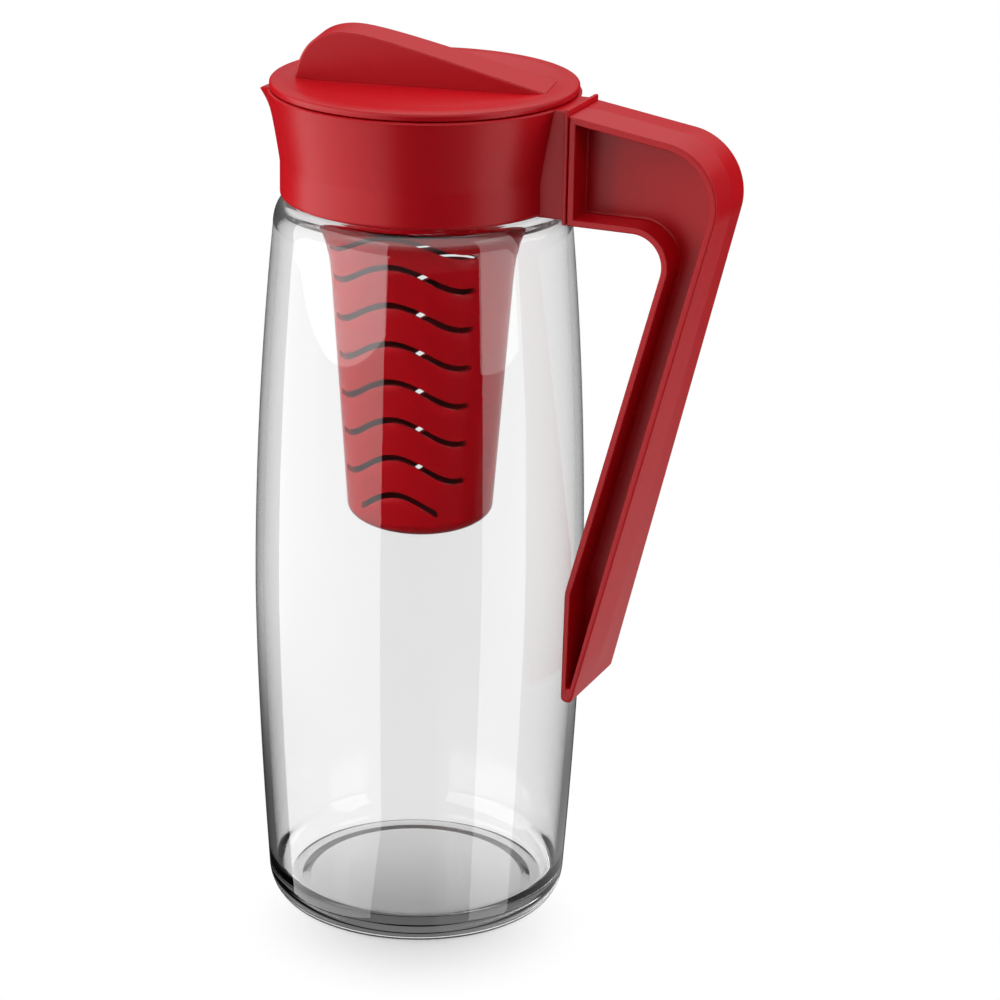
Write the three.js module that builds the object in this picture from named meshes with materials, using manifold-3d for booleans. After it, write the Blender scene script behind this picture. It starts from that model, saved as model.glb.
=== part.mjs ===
// A bulged glass carafe with a moulded collar, handle and lid, and an infuser that hangs from the lid.
// Millimetres, +Z up. The axis of the glass is the Z axis, and the origin is on it at the underside.
// The handle points along +X and the spout along -X.
import * as THREE from "three";
import { mergeVertices } from "three/addons/utils/BufferGeometryUtils.js";
import Module from "manifold-3d";

const wasm = await Module();
wasm.setup();

const degree = Math.PI / 180;
const quarterTurn = Math.PI / 2;
const fullTurn = 2 * Math.PI;

// Fits shared by several pieces
const seatGap = 0.3;
const cutOverrun = 4;
const weldDistance = 1e-4;
const matchDistance = 1e-3;

// Glass
const glassWall = 2.6;
const glassSideShares = [0.12, 0.28, 0.45, 0.6, 0.75, 0.88];
const glassFloor = 5;
const footRadius = 44.7;
const heelRadius = 50.2;
const heelHeight = 9.2;
const heelPower = 1.77;
const bulgeRadius = 54.6;
const bulgeHeight = 112;
const shoulderTop = 242.2;
const shoulderDrop = 8.7;
const shoulderReach = 4.3;
const shoulderLedge = 3.2;
const lowerCurvePower = 1.6;
const upperCurvePower = 1.9;
const neckRadius = 41;
const neckFillet = 1.2;
const neckHeight = 19.8;
const beadReach = 1;
const beadHeight = 4.8;
const rimRound = 0.9;

// Collar
const collarHeight = 35.9;
const collarWall = 3;
const collarFootRound = 1.3;
const collarWaistHeight = 14.5;
const collarFlareReach = 5.3;
const collarRimRound = 0.8;
const collarLipWall = 1.9;
const throatSetback = 2.2;
const throatLedge = 2.2;
const flarePower = 1.45;
const flareShares = [0.25, 0.5, 0.72];

// Spout, a pointed pouring lip drawn out of the collar's rim
const spoutReach = 7.6;
const spoutDrop = 5.4;
const spoutRootHeight = 12.5;
const spoutHalfAngle = 15 * degree;
const spoutPower = 1.3;
const spoutNosePower = 0.8;

// Lug of the collar, and the plate at its end
const lugHalfWidth = 11;
const lugSink = 5;
const lugReach = 5.1;
const plateThickness = 1.3;
const plateRise = 0.8;

// Soft ring on the glass rim
const gasketThickness = 2.3;
const gasketInset = 0.5;
const gasketRound = 0.6;

// Handle, a flanged moulding round a thin web
const handleTopWidth = 24.8;
const handleTipWidth = 32.8;
const handleRun = 49.7;
const handleTopDrop = 1.2;
const handleTopSlope = 10 * degree;
const handleBendRadius = 20.4;
const gripDepth = 12.6;
const handleFootDrop = 0.2;
const fingerBendRadius = 10;
const tailClearance = 3.4;
const handleLength = 192.6;
const tailTipThickness = 4.05;
const flangeThickness = 2.2;
const webThickness = 5;
const outerCrown = 0.8;
const tenonWidth = 12;
const tenonHeight = 20;
const tenonLength = 8.5;

// Lid cap with its wedge-shaped grip
const lidTurn = 10.9 * degree;
const lidOverhang = 0.4;
const lidThickness = 2.4;
const lidEdgeRound = 1.7;
const dishInset = 8.4;
const dishDepth = 0.9;
const dishEase = 4.5;
const dishEaseShare = 0.7;
const finHeight = 16.2;
const finPeakPlace = -24;
const finNoseHalfWidth = 7.5;
const finTailHalfWidth = 9.8;
const finTailHeight = 0.8;
const finBevel = 0.7;
const finOverhang = 1.2;
const finNoseShares = { run: 0.12, rise: 0.7, ease: 0.4 };
const finTailShares = { run: 0.5, place: 0.35, rise: 0.55 };

// Plug under the cap
const plugClearance = 2.2;
const plugWall = 2;
const plugLength = 31.5;
const spigotWall = 2;
const spigotLength = 4.6;
const strainerSlots = 9;
const strainerWidth = 2.4;
const strainerPitch = 7.2 * degree;
const strainerHeight = 8.4;
const strainerTopDrop = 5.4;

// Soft ring round the plug
const sealHeight = 3.4;
const sealGroove = 1;
const sealDepth = 3.4;
const sealLip = 1.1;
const sealLipShare = 0.2;

// Infuser basket
const basketWall = 2;
const basketRingPlay = 0.5;
const basketInsertion = 9.5;
const basketLength = 130.4;
const basketRingHeight = 11.6;
const basketDomeHeight = 9;
const basketRadius = 26.8;
const basketEndRadius = 23.2;
const basketWaistShare = 0.54;
const basketFlarePower = 1.7;

// Wave-shaped slots of the basket
const slotRows = 8;
const slotHeight = 2.2;
const slotPitch = 12.66;
const slotRise = 25.4;
const slotWave = 7.4;
const slotTroughAngle = 46 * degree;
const fullSlotHalfAngle = 63 * degree;
const lowestSlotHalfAngle = 36 * degree;

// Bayonet between basket and plug
const bayonetLugs = 3;
const bayonetTwist = 35 * degree;
const bayonetLugArc = 12 * degree;
const bayonetLugHeight = 2.9;
const bayonetLugReach = 1.6;
const bayonetRise = 3.7;
const bayonetPlay = 1.2 * degree;

// Facets
const glassSides = 48;
const collarSides = 56;
const lidSides = 48;
const ringSides = 40;
const basketSides = 40;
const domeSteps = 5;
const glassCornerSteps = 4;
const neckCornerSteps = 3;
const mouldedCornerSteps = 2;
const lidEdgeSteps = 3;
const lidUndersideSteps = 1;
const handleBendSteps = 9;
const handleTipSteps = 5;
const fingerBendSteps = 6;
const handleRows = 2;
const finCurveSteps = 9;
const collarSideGather = 0.5;

const shoulderStart = shoulderTop - shoulderDrop;
const mouthHeight = shoulderTop + neckHeight;
const beadStart = mouthHeight - beadHeight;
const shoulderFlat = neckRadius + shoulderLedge;
const shoulderRadius = shoulderFlat + shoulderReach;
const beadRadius = neckRadius + beadReach;
const collarRadius = beadRadius + collarWall;
const collarRimRadius = collarRadius + collarFlareReach;
const lugRoot = collarRadius - lugSink;
const mouthRadius = neckRadius - glassWall;
const plugRadius = mouthRadius - plugClearance;
const plugInnerRadius = plugRadius - plugWall;
const throatRadius = mouthRadius + throatSetback;
const collarFoot = shoulderTop + seatGap;
const collarRim = collarFoot + collarHeight;
const gasketFoot = mouthHeight + seatGap;
const gasketTop = gasketFoot + gasketThickness;
const throatFoot = gasketTop + seatGap;
const spoutStart = collarFoot + spoutRootHeight;
const lidUnderside = collarRim + seatGap;
const lidTop = lidUnderside + lidThickness;
const dishHeight = lidTop - dishDepth;
const plugTop = lidUnderside - seatGap;
const plugFoot = plugTop - plugLength;
const lidRadius = collarRimRadius + lidOverhang;
const dishRadius = lidRadius - dishInset;
const sealMiddleHeight = mouthHeight - sealDepth;
const basketRingRadius = plugInnerRadius - basketRingPlay;
const basketTopHeight = plugFoot + basketInsertion;
const basketBottomHeight = basketTopHeight - basketLength;
const slotLowest = basketBottomHeight + slotRise;
const bayonetLugMiddle = plugFoot + bayonetRise;
const plateFace = collarRimRadius + lugReach;
const handleRoot = plateFace + seatGap;
const handleReach = handleRoot + handleRun;
const handleTopHeight = collarRim - handleTopDrop;
const tailTipHeight = handleTopHeight - handleLength;
const fingerTopHeight = collarFoot - handleFootDrop;
const tenonMiddleHeight = (fingerTopHeight + handleTopHeight) / 2;

function toSolid(geometry) {
  const bare = geometry.clone();
  bare.deleteAttribute("normal");
  bare.deleteAttribute("uv");
  const welded = mergeVertices(bare, weldDistance);
  const index = welded.getIndex().array;
  const corners = new Float32Array(welded.getAttribute("position").array);
  const faces = [];
  for (let i = 0; i < index.length; i += 3) {
    const face = [index[i], index[i + 1], index[i + 2]];
    if (new Set(face).size === 3) faces.push(face);
  }
  const outward = signedVolume(corners, faces) > 0;
  const triVerts = new Uint32Array(faces.flatMap(([a, b, c]) => (outward ? [a, b, c] : [a, c, b])));
  return new wasm.Manifold(new wasm.Mesh({ numProp: 3, vertProperties: corners, triVerts }));
}

function signedVolume(corners, faces) {
  const [a, b, c] = [new THREE.Vector3(), new THREE.Vector3(), new THREE.Vector3()];
  let sum = 0;
  for (const [i, j, k] of faces) {
    a.fromArray(corners, 3 * i);
    b.fromArray(corners, 3 * j);
    c.fromArray(corners, 3 * k);
    sum += a.dot(b.cross(c));
  }
  return sum / 6;
}

function toMesh(name, solid, color, roughness, extra = {}) {
  const { vertProperties, triVerts } = solid.getMesh();
  const geometry = new THREE.BufferGeometry();
  geometry.setAttribute("position", new THREE.BufferAttribute(vertProperties, 3));
  geometry.setIndex(new THREE.BufferAttribute(triVerts, 1));
  const material = new THREE.MeshStandardMaterial({ color, roughness, metalness: 0, ...extra });
  const mesh = new THREE.Mesh(geometry, material);
  mesh.name = name;
  return mesh;
}

function changeCorners(geometry, change) {
  const position = geometry.getAttribute("position");
  const corner = new THREE.Vector3();
  for (let i = 0; i < position.count; i += 1) {
    corner.fromBufferAttribute(position, i);
    change(corner);
    position.setXYZ(i, corner.x, corner.y, corner.z);
  }
  return geometry;
}

// An outline is a list of [radius, height], and turns about the Z axis.
function latheGeometry(outline, sides) {
  const points = outline.map(([radius, height]) => new THREE.Vector2(radius, height));
  return new THREE.LatheGeometry(points, sides).rotateX(quarterTurn);
}

function lathe(outline, sides) {
  return toSolid(latheGeometry(outline, sides));
}

// A quarter of an ellipse from [radius0, height0] to [radius1, height1], upright at the first end.
function roundedCorner([radius0, height0], [radius1, height1], steps, power = 2) {
  const points = [];
  for (let i = 0; i <= steps; i += 1) {
    const turn = (quarterTurn * i) / steps;
    const along = Math.sin(turn) ** (2 / power);
    const across = Math.cos(turn) ** (2 / power);
    points.push([radius1 + (radius0 - radius1) * across, height0 + (height1 - height0) * along]);
  }
  return points;
}

// A block that bends round the Z axis between two radii, two angles and two heights.
function sector(innerRadius, outerRadius, startAngle, endAngle, foot, top) {
  const shape = new THREE.Shape();
  shape.absarc(0, 0, outerRadius, startAngle, endAngle, false);
  shape.absarc(0, 0, innerRadius, endAngle, startAngle, true);
  const curveSegments = Math.max(2, Math.ceil((endAngle - startAngle) / (fullTurn / ringSides)));
  const settings = { depth: top - foot, bevelEnabled: false, curveSegments };
  const geometry = new THREE.ExtrudeGeometry(shape, settings);
  return toSolid(geometry.translate(0, 0, foot));
}

function block(fromX, toX, width, foot, top) {
  const geometry = new THREE.BoxGeometry(toX - fromX, width, top - foot);
  return toSolid(geometry.translate((fromX + toX) / 2, 0, (foot + top) / 2));
}

function glassSideRadius(height) {
  const below = height < bulgeHeight;
  const end = below ? heelHeight : shoulderStart;
  const loss = bulgeRadius - (below ? heelRadius : shoulderRadius);
  const share = (height - bulgeHeight) / (end - bulgeHeight);
  return bulgeRadius - loss * share ** (below ? lowerCurvePower : upperCurvePower);
}

function glassBody() {
  const side = glassSideShares.map((share) => {
    const height = heelHeight + (shoulderStart - heelHeight) * share;
    return [glassSideRadius(height), height];
  });
  const inside = side.map(([radius, height]) => [radius - glassWall, height]).reverse();
  const floorCorner = footRadius - glassWall;
  const heelInside = [heelRadius - glassWall, heelHeight + glassFloor];
  const shoulderInside = [shoulderRadius - glassWall, shoulderStart - glassWall / 2];
  const outline = [
    [0, 0],
    ...roundedCorner([heelRadius, heelHeight], [footRadius, 0], glassCornerSteps, heelPower).reverse(),
    ...side,
    ...roundedCorner([shoulderRadius, shoulderStart], [shoulderFlat, shoulderTop], glassCornerSteps),
    [neckRadius + neckFillet, shoulderTop],
    [neckRadius, shoulderTop + neckFillet],
    [neckRadius, beadStart],
    [beadRadius, beadStart + rimRound],
    [beadRadius, mouthHeight - rimRound],
    [beadRadius - rimRound, mouthHeight],
    [mouthRadius + rimRound, mouthHeight],
    [mouthRadius, mouthHeight - rimRound],
    [mouthRadius, shoulderTop + neckFillet - glassWall / 2],
    ...roundedCorner(shoulderInside, [mouthRadius + neckFillet, shoulderTop - glassWall], neckCornerSteps)
      .reverse(),
    ...inside,
    ...roundedCorner(heelInside, [floorCorner, glassFloor], glassCornerSteps),
    [0, glassFloor],
  ];
  return lathe(outline, glassSides);
}

// Gathers the facets of a turned surface towards the spout, where the curve is tightest.
function gatherAtSpout(corner) {
  const radius = Math.hypot(corner.x, corner.y);
  const angle = Math.atan2(-corner.y, -corner.x);
  const gathered = angle - collarSideGather * Math.sin(angle);
  corner.x = -radius * Math.cos(gathered);
  corner.y = -radius * Math.sin(gathered);
}

// Draws a turned surface out and down into the spout, more and more from a start height to the rim.
function drawSpout(corner, startHeight) {
  const radius = Math.hypot(corner.x, corner.y);
  const angle = Math.atan2(-corner.y, -corner.x);
  const climb = THREE.MathUtils.clamp((corner.z - startHeight) / (collarRim - startHeight), 0, 1);
  const across = Math.min(Math.abs(angle) / spoutHalfAngle, 1);
  const nose = ((1 + Math.cos(Math.PI * across)) / 2) ** spoutNosePower;
  const pull = nose * climb ** spoutPower;
  const drawn = 1 + (spoutReach * pull) / Math.max(radius, plugRadius);
  corner.x *= drawn;
  corner.y *= drawn;
  corner.z -= spoutDrop * pull;
}

function collarSurface(outline, spoutFoot) {
  const geometry = latheGeometry(outline, collarSides);
  changeCorners(geometry, gatherAtSpout);
  return toSolid(changeCorners(geometry, (corner) => drawSpout(corner, spoutFoot)));
}

function collarFlare(height) {
  const waist = collarFoot + collarWaistHeight;
  const climb = THREE.MathUtils.clamp((height - waist) / (collarRim - waist), 0, 1);
  return collarRadius + (collarRimRadius - collarRadius) * climb ** flarePower;
}

function collar() {
  const waist = collarFoot + collarWaistHeight;
  const flare = flareShares.map((share) => {
    const height = waist + (collarRim - waist) * share;
    return [collarFlare(height), height];
  });
  const rimFoot = collarRim - collarRimRound;
  const outside = [
    [0, collarFoot],
    ...roundedCorner([collarRadius, collarFoot + collarFootRound],
      [collarRadius - collarFootRound, collarFoot], mouldedCornerSteps).reverse(),
    [collarRadius, waist],
    ...flare,
    [collarRimRadius, rimFoot - collarRimRound],
    ...roundedCorner([collarRimRadius, rimFoot],
      [collarRimRadius - collarRimRound, collarRim], mouldedCornerSteps),
    [0, collarRim],
  ];
  const beadPocket = beadStart - seatGap;
  const funnelFoot = throatFoot + throatLedge;
  const inside = [
    [0, collarFoot - cutOverrun],
    [neckRadius + neckFillet + seatGap, collarFoot - cutOverrun],
    [neckRadius + neckFillet + seatGap, collarFoot],
    [neckRadius + seatGap, collarFoot + neckFillet],
    [neckRadius + seatGap, beadPocket],
    [beadRadius + seatGap, beadPocket + rimRound],
    [beadRadius + seatGap, throatFoot],
    [throatRadius, throatFoot],
    [throatRadius, funnelFoot],
    [collarFlare(rimFoot) - 2 * collarLipWall, rimFoot - throatLedge],
    [collarRimRadius - collarLipWall, rimFoot],
    [collarRimRadius - collarLipWall + collarRimRound, collarRim + seatGap],
    [0, collarRim + seatGap],
  ];
  const lug = block(lugRoot, plateFace - plateThickness / 2, 2 * lugHalfWidth, collarFoot, collarRim);
  const plate = handleSlice(plateFace - plateThickness, plateFace, fingerTopHeight, collarRim + plateRise);
  const socket = block(plateFace - tenonLength - seatGap, plateFace + cutOverrun, tenonWidth + 2 * seatGap,
    tenonMiddleHeight - tenonHeight / 2 - seatGap, tenonMiddleHeight + tenonHeight / 2 + seatGap);
  const shell = collarSurface(outside, spoutStart).add(lug).add(plate);
  return shell.subtract(collarSurface(inside, funnelFoot)).subtract(socket);
}

function collarGasket() {
  const inner = mouthRadius + gasketInset;
  const outer = beadRadius;
  return lathe([
    [inner + gasketRound, gasketFoot],
    [outer - gasketRound, gasketFoot],
    [outer, gasketFoot + gasketRound],
    [outer, gasketTop - gasketRound],
    [outer - gasketRound, gasketTop],
    [inner + gasketRound, gasketTop],
    [inner, (gasketFoot + gasketTop) / 2],
    [inner + gasketRound, gasketFoot],
  ], ringSides);
}

// The handle's width grows steadily from its top to its tip.
function handleWidth(height) {
  const share = (handleTopHeight - height) / (handleTopHeight - tailTipHeight);
  return handleTopWidth + (handleTipWidth - handleTopWidth) * share;
}

// Extrudes an outline of [x, z] along Y, and spreads it to the handle's width and any overrun.
function handleExtrusion(outline, rows, overrun = 0) {
  const shape = new THREE.Shape(outline.map(([x, z]) => new THREE.Vector2(x, z)));
  const settings = { depth: handleTopWidth, steps: rows, bevelEnabled: false };
  const geometry = new THREE.ExtrudeGeometry(shape, settings);
  geometry.rotateX(quarterTurn);
  geometry.translate(0, handleTopWidth / 2, 0);
  return changeCorners(geometry, (corner) => {
    corner.y *= (handleWidth(corner.z) + 2 * overrun) / handleTopWidth;
  });
}

function handleSlice(fromX, toX, foot, top) {
  return toSolid(handleExtrusion([[fromX, foot], [toX, foot], [toX, top], [fromX, top]], 1));
}

function arcPoints(centre, radius, startAngle, endAngle, steps) {
  const points = [];
  for (let i = 0; i <= steps; i += 1) {
    const angle = startAngle + ((endAngle - startAngle) * i) / steps;
    points.push([centre[0] + radius * Math.cos(angle), centre[1] + radius * Math.sin(angle)]);
  }
  return points;
}

// The handle's side outline in runs: its back, its rounded tip, and the finger side up to the lug.
// The grip's back is the straight line from the bend to the tip.
// The point is where the back and the finger side would meet below the tip.
function handleOutline() {
  const bendX = handleReach - handleBendRadius;
  const slopeRun = bendX + handleBendRadius * Math.sin(handleTopSlope) - handleRoot;
  const bendZ = handleTopHeight - slopeRun * Math.tan(handleTopSlope)
    - handleBendRadius * Math.cos(handleTopSlope);
  const tailX = bulgeRadius + tailClearance;
  const tipRun = [bendX - tailX - tailTipThickness, bendZ - tailTipHeight];
  const gripTilt = Math.atan2(...tipRun) + Math.asin(handleBendRadius / Math.hypot(...tipRun));
  const lean = Math.tan(gripTilt);
  const bend = arcPoints([bendX, bendZ], handleBendRadius, quarterTurn - handleTopSlope, -gripTilt,
    handleBendSteps);
  const [bendEndX, bendEndZ] = bend[bend.length - 1];
  const backX = (height) => bendEndX - (bendEndZ - height) * lean;
  const gripX = (height) => backX(height) - gripDepth / Math.cos(gripTilt);
  const tipRadius = tailTipThickness / 2;
  const tip = arcPoints([tailX + tipRadius, tailTipHeight + tipRadius], tipRadius, -gripTilt, -Math.PI,
    handleTipSteps);
  const point = [tailX, bendEndZ - (bendEndX - tailX) / lean];
  const knee = [tailX, bendEndZ - (gripX(bendEndZ) - tailX) / lean];
  const fingerZ = fingerTopHeight - fingerBendRadius;
  const fingerEndZ = fingerZ - fingerBendRadius * Math.sin(gripTilt);
  const fingerX = gripX(fingerEndZ) - fingerBendRadius * Math.cos(gripTilt);
  const finger = arcPoints([fingerX, fingerZ], fingerBendRadius, -gripTilt, quarterTurn,
    fingerBendSteps);
  const back = [[handleRoot, handleTopHeight], ...bend];
  const front = [knee, ...finger, [handleRoot, fingerTopHeight]];
  return { back, tip, point, front };
}

// Moves every side of a closed outline inwards by one distance.
function insetOutline(outline, distance) {
  const corners = outline.map(([x, z]) => new THREE.Vector2(x, z));
  const inward = THREE.ShapeUtils.isClockWise(corners) ? -1 : 1;
  return corners.map((corner, i) => {
    const before = corners.at(i - 1);
    const after = corners[(i + 1) % corners.length];
    const arrive = corner.clone().sub(before).normalize();
    const leave = after.clone().sub(corner).normalize();
    const normalIn = new THREE.Vector2(-arrive.y, arrive.x).multiplyScalar(inward);
    const normalOut = new THREE.Vector2(-leave.y, leave.x).multiplyScalar(inward);
    const middle = normalIn.add(normalOut).normalize();
    const reach = distance / middle.dot(new THREE.Vector2(-leave.y, leave.x).multiplyScalar(inward));
    return [corner.x + middle.x * reach, corner.y + middle.y * reach];
  });
}

function handle() {
  const { back, tip, point, front } = handleOutline();
  const outline = [...back, ...tip, ...front];
  const raised = insetOutline(outline, -outerCrown);
  const body = handleExtrusion(outline, handleRows);
  changeCorners(body, (corner) => {
    if (Math.abs(corner.y) > weldDistance) return;
    const place = outline.findIndex(([x, z]) => Math.hypot(x - corner.x, z - corner.z) < matchDistance);
    if (place < 1 || place > back.length) return;
    corner.x = raised[place][0];
    corner.z = raised[place][1];
  });
  const pocketOutline = insetOutline([...back, point, ...front], flangeThickness);
  const pocket = toSolid(handleExtrusion(pocketOutline, 1, cutOverrun));
  const web = block(handleRoot, handleReach, webThickness, 0, handleTopHeight);
  const tenon = block(plateFace - tenonLength, handleRoot + flangeThickness, tenonWidth,
    tenonMiddleHeight - tenonHeight / 2, tenonMiddleHeight + tenonHeight / 2);
  const flanges = toSolid(body).subtract(pocket.subtract(web));
  return flanges.add(tenon);
}

function lidCap() {
  const dishEdge = dishRadius - dishEase;
  const spigotRadius = plugInnerRadius - seatGap;
  const disc = lathe([
    [0, lidUnderside],
    [spigotRadius - spigotWall, lidUnderside],
    [spigotRadius - spigotWall, lidUnderside - spigotLength],
    [spigotRadius, lidUnderside - spigotLength],
    [spigotRadius, lidUnderside],
    ...roundedCorner([lidRadius, lidTop - lidEdgeRound],
      [lidRadius - lidEdgeRound / 2, lidUnderside], lidUndersideSteps).reverse(),
    ...roundedCorner([lidRadius, lidTop - lidEdgeRound],
      [lidRadius - lidEdgeRound, lidTop], lidEdgeSteps).slice(1),
    [dishRadius, lidTop],
    [(dishRadius + dishEdge) / 2, lidTop - dishDepth * dishEaseShare],
    [dishEdge, dishHeight],
    [0, dishHeight],
  ], lidSides);
  return disc.add(fin());
}

// The grip: a tall rounded nose over the spout that slopes down and widens towards the handle.
function fin() {
  const half = dishRadius - finOverhang;
  const root = lidUnderside + seatGap;
  const top = dishHeight + finHeight;
  const noseRun = half + finPeakPlace;
  const shape = new THREE.Shape();
  shape.moveTo(-half, root);
  shape.lineTo(-half, dishHeight);
  shape.bezierCurveTo(-half + noseRun * finNoseShares.run, dishHeight + finHeight * finNoseShares.rise,
    -half + noseRun * finNoseShares.ease, top, finPeakPlace, top);
  shape.bezierCurveTo(finPeakPlace + half * finTailShares.run, top,
    half * finTailShares.place, dishHeight + finHeight * finTailShares.rise,
    half, dishHeight + finTailHeight);
  shape.lineTo(half, root);
  shape.closePath();
  const geometry = new THREE.ExtrudeGeometry(shape, {
    depth: 2 * (finNoseHalfWidth - finBevel),
    curveSegments: finCurveSteps,
    bevelEnabled: true,
    bevelThickness: finBevel,
    bevelSize: finBevel,
    bevelOffset: -finBevel,
    bevelSegments: mouldedCornerSteps,
  });
  geometry.rotateX(quarterTurn);
  geometry.translate(0, finNoseHalfWidth - finBevel, 0);
  changeCorners(geometry, (corner) => {
    const share = (corner.x + half) / (2 * half);
    corner.y *= THREE.MathUtils.lerp(1, finTailHalfWidth / finNoseHalfWidth, share);
  });
  return toSolid(geometry);
}

function lidPlug() {
  const grooveFoot = sealMiddleHeight - sealHeight / 2 - seatGap;
  const grooveTop = sealMiddleHeight + sealHeight / 2 + seatGap;
  let plug = lathe([
    [plugInnerRadius, plugFoot],
    [plugRadius, plugFoot],
    [plugRadius, grooveFoot],
    [plugRadius - sealGroove, grooveFoot],
    [plugRadius - sealGroove, grooveTop],
    [plugRadius, grooveTop],
    [plugRadius, plugTop],
    [plugInnerRadius, plugTop],
    [plugInnerRadius, plugFoot],
  ], ringSides);
  const slotTop = plugTop - strainerTopDrop;
  const halfSlot = strainerWidth / 2 / plugRadius;
  for (let i = 0; i < strainerSlots; i += 1) {
    const angle = Math.PI + (i - (strainerSlots - 1) / 2) * strainerPitch;
    plug = plug.subtract(sector(plugInnerRadius - cutOverrun, plugRadius + cutOverrun,
      angle - halfSlot, angle + halfSlot, slotTop - strainerHeight, slotTop));
  }
  for (let i = 0; i < bayonetLugs; i += 1) {
    plug = plug.subtract(bayonetSlot((fullTurn * i) / bayonetLugs));
  }
  return plug;
}

// A slot in the plug's wall, in from the foot and then sideways to where the basket's lug is locked.
function bayonetSlot(angle) {
  const reach = bayonetLugArc / 2 + bayonetPlay;
  const inner = plugInnerRadius - cutOverrun;
  const outer = plugRadius + cutOverrun;
  const top = bayonetLugMiddle + bayonetLugHeight / 2 + seatGap;
  const ledge = bayonetLugMiddle - bayonetLugHeight / 2 - seatGap;
  const entry = angle - bayonetTwist;
  const run = sector(inner, outer, entry - reach, angle + reach, ledge, top);
  return run.add(sector(inner, outer, entry - reach, entry + reach, plugFoot - cutOverrun, top));
}

function lidSeal() {
  const inner = plugRadius - sealGroove + seatGap;
  const outer = mouthRadius - seatGap;
  const foot = sealMiddleHeight - sealHeight / 2;
  const top = sealMiddleHeight + sealHeight / 2;
  const waist = outer - sealLip;
  return lathe([
    [inner, foot],
    [waist, foot],
    [outer, foot + sealHeight * sealLipShare],
    [waist, sealMiddleHeight],
    [outer, top - sealHeight * sealLipShare],
    [waist, top],
    [inner, top],
    [inner, foot],
  ], ringSides);
}

function basketSide(height) {
  const foot = basketBottomHeight + basketDomeHeight;
  const ringFoot = basketTopHeight - basketRingHeight;
  const share = (height - foot) / (ringFoot - foot);
  if (share < basketWaistShare) {
    const left = 1 - share / basketWaistShare;
    return basketRadius - (basketRadius - basketEndRadius) * left * left;
  }
  const flare = (share - basketWaistShare) / (1 - basketWaistShare);
  return basketRadius + (basketRingRadius - basketRadius) * flare ** basketFlarePower;
}

// The angle from the middle of the nearest slotted panel; the panels face along -Y and +Y.
function panelAngle(angle) {
  return THREE.MathUtils.euclideanModulo(angle, Math.PI) - quarterTurn;
}

function slotHalfAngle(slot) {
  return slot === 0 ? lowestSlotHalfAngle : fullSlotHalfAngle;
}

// One edge of a slot: a wave with its crest in the middle of the panel, closing in at the slot's ends.
function slotEdge(slot, side) {
  const crest = slotLowest + slot * slotPitch;
  return (angle) => {
    const away = panelAngle(angle);
    const drop = (slotWave / 2) * (1 - Math.cos((Math.PI * away) / slotTroughAngle));
    const inside = Math.abs(away) < slotHalfAngle(slot) - fullTurn / basketSides / 2;
    const height = crest - drop + side * (inside ? slotHeight / 2 : slotHeight / 4);
    const radius = basketSide(height);
    return { outer: [radius, height], inner: [radius - basketWall, height] };
  };
}

// The basket as rows of corners from the dome to the ring, each a pair of outer and inner corners.
function basketRows() {
  const foot = basketBottomHeight + basketDomeHeight;
  const innerDome = roundedCorner([basketEndRadius - basketWall, foot],
    [0, basketBottomHeight + basketWall], domeSteps).reverse();
  const outerDome = roundedCorner([basketEndRadius, foot], [0, basketBottomHeight], domeSteps).reverse();
  const rows = outerDome.map((outer, i) => ({ corners: () => ({ outer, inner: innerDome[i] }) }));
  for (let slot = 0; slot < slotRows; slot += 1) {
    rows.push({ corners: slotEdge(slot, -1), slot });
    rows.push({ corners: slotEdge(slot, 1) });
  }
  for (const height of [basketTopHeight - basketRingHeight, basketTopHeight]) {
    const outer = [basketRingRadius, height];
    const inner = [basketRingRadius - basketWall, height];
    rows.push({ corners: () => ({ outer, inner }) });
  }
  return rows;
}

// The basket's wall is a grid of cells between the rows, and the cells that lie in a slot stay open.
function basketShell() {
  const rows = basketRows();
  const step = fullTurn / basketSides;
  const points = [];
  const addFace = (a, b, c, d) => points.push(...a, ...b, ...c, ...a, ...c, ...d);
  const isOpen = (row, column) => {
    if (rows[row].slot === undefined) return false;
    return Math.abs(panelAngle((column + 0.5) * step)) < slotHalfAngle(rows[row].slot);
  };
  const cornersAt = (row, column) => {
    const angle = column * step;
    const { outer, inner } = rows[row].corners(angle);
    const turned = ([radius, height]) => [radius * Math.cos(angle), radius * Math.sin(angle), height];
    return [turned(outer), turned(inner)];
  };
  for (let column = 0; column < basketSides; column += 1) {
    for (let row = 0; row + 1 < rows.length; row += 1) {
      const [outA, inA] = cornersAt(row, column);
      const [outB, inB] = cornersAt(row, column + 1);
      const [outC, inC] = cornersAt(row + 1, column + 1);
      const [outD, inD] = cornersAt(row + 1, column);
      if (isOpen(row, column)) {
        addFace(outA, outB, inB, inA);
        addFace(outC, outD, inD, inC);
        if (!isOpen(row, column - 1)) addFace(outD, outA, inA, inD);
        if (!isOpen(row, column + 1)) addFace(outB, outC, inC, inB);
      } else {
        addFace(outA, outB, outC, outD);
        addFace(inD, inC, inB, inA);
      }
    }
    const [outTop, inTop] = cornersAt(rows.length - 1, column);
    const [outNext, inNext] = cornersAt(rows.length - 1, column + 1);
    addFace(outTop, outNext, inNext, inTop);
  }
  const geometry = new THREE.BufferGeometry();
  geometry.setAttribute("position", new THREE.Float32BufferAttribute(points, 3));
  return toSolid(geometry);
}

function infuserBasket() {
  let basket = basketShell();
  for (let i = 0; i < bayonetLugs; i += 1) {
    const angle = lidTurn + (fullTurn * i) / bayonetLugs;
    basket = basket.add(sector(basketRingRadius - basketWall / 2, basketRingRadius + bayonetLugReach,
      angle - bayonetLugArc / 2, angle + bayonetLugArc / 2,
      bayonetLugMiddle - bayonetLugHeight / 2, bayonetLugMiddle + bayonetLugHeight / 2));
  }
  return basket;
}

const glassLook = { transparent: true, opacity: 0.35 };
const red = 0xb3202a;

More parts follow.
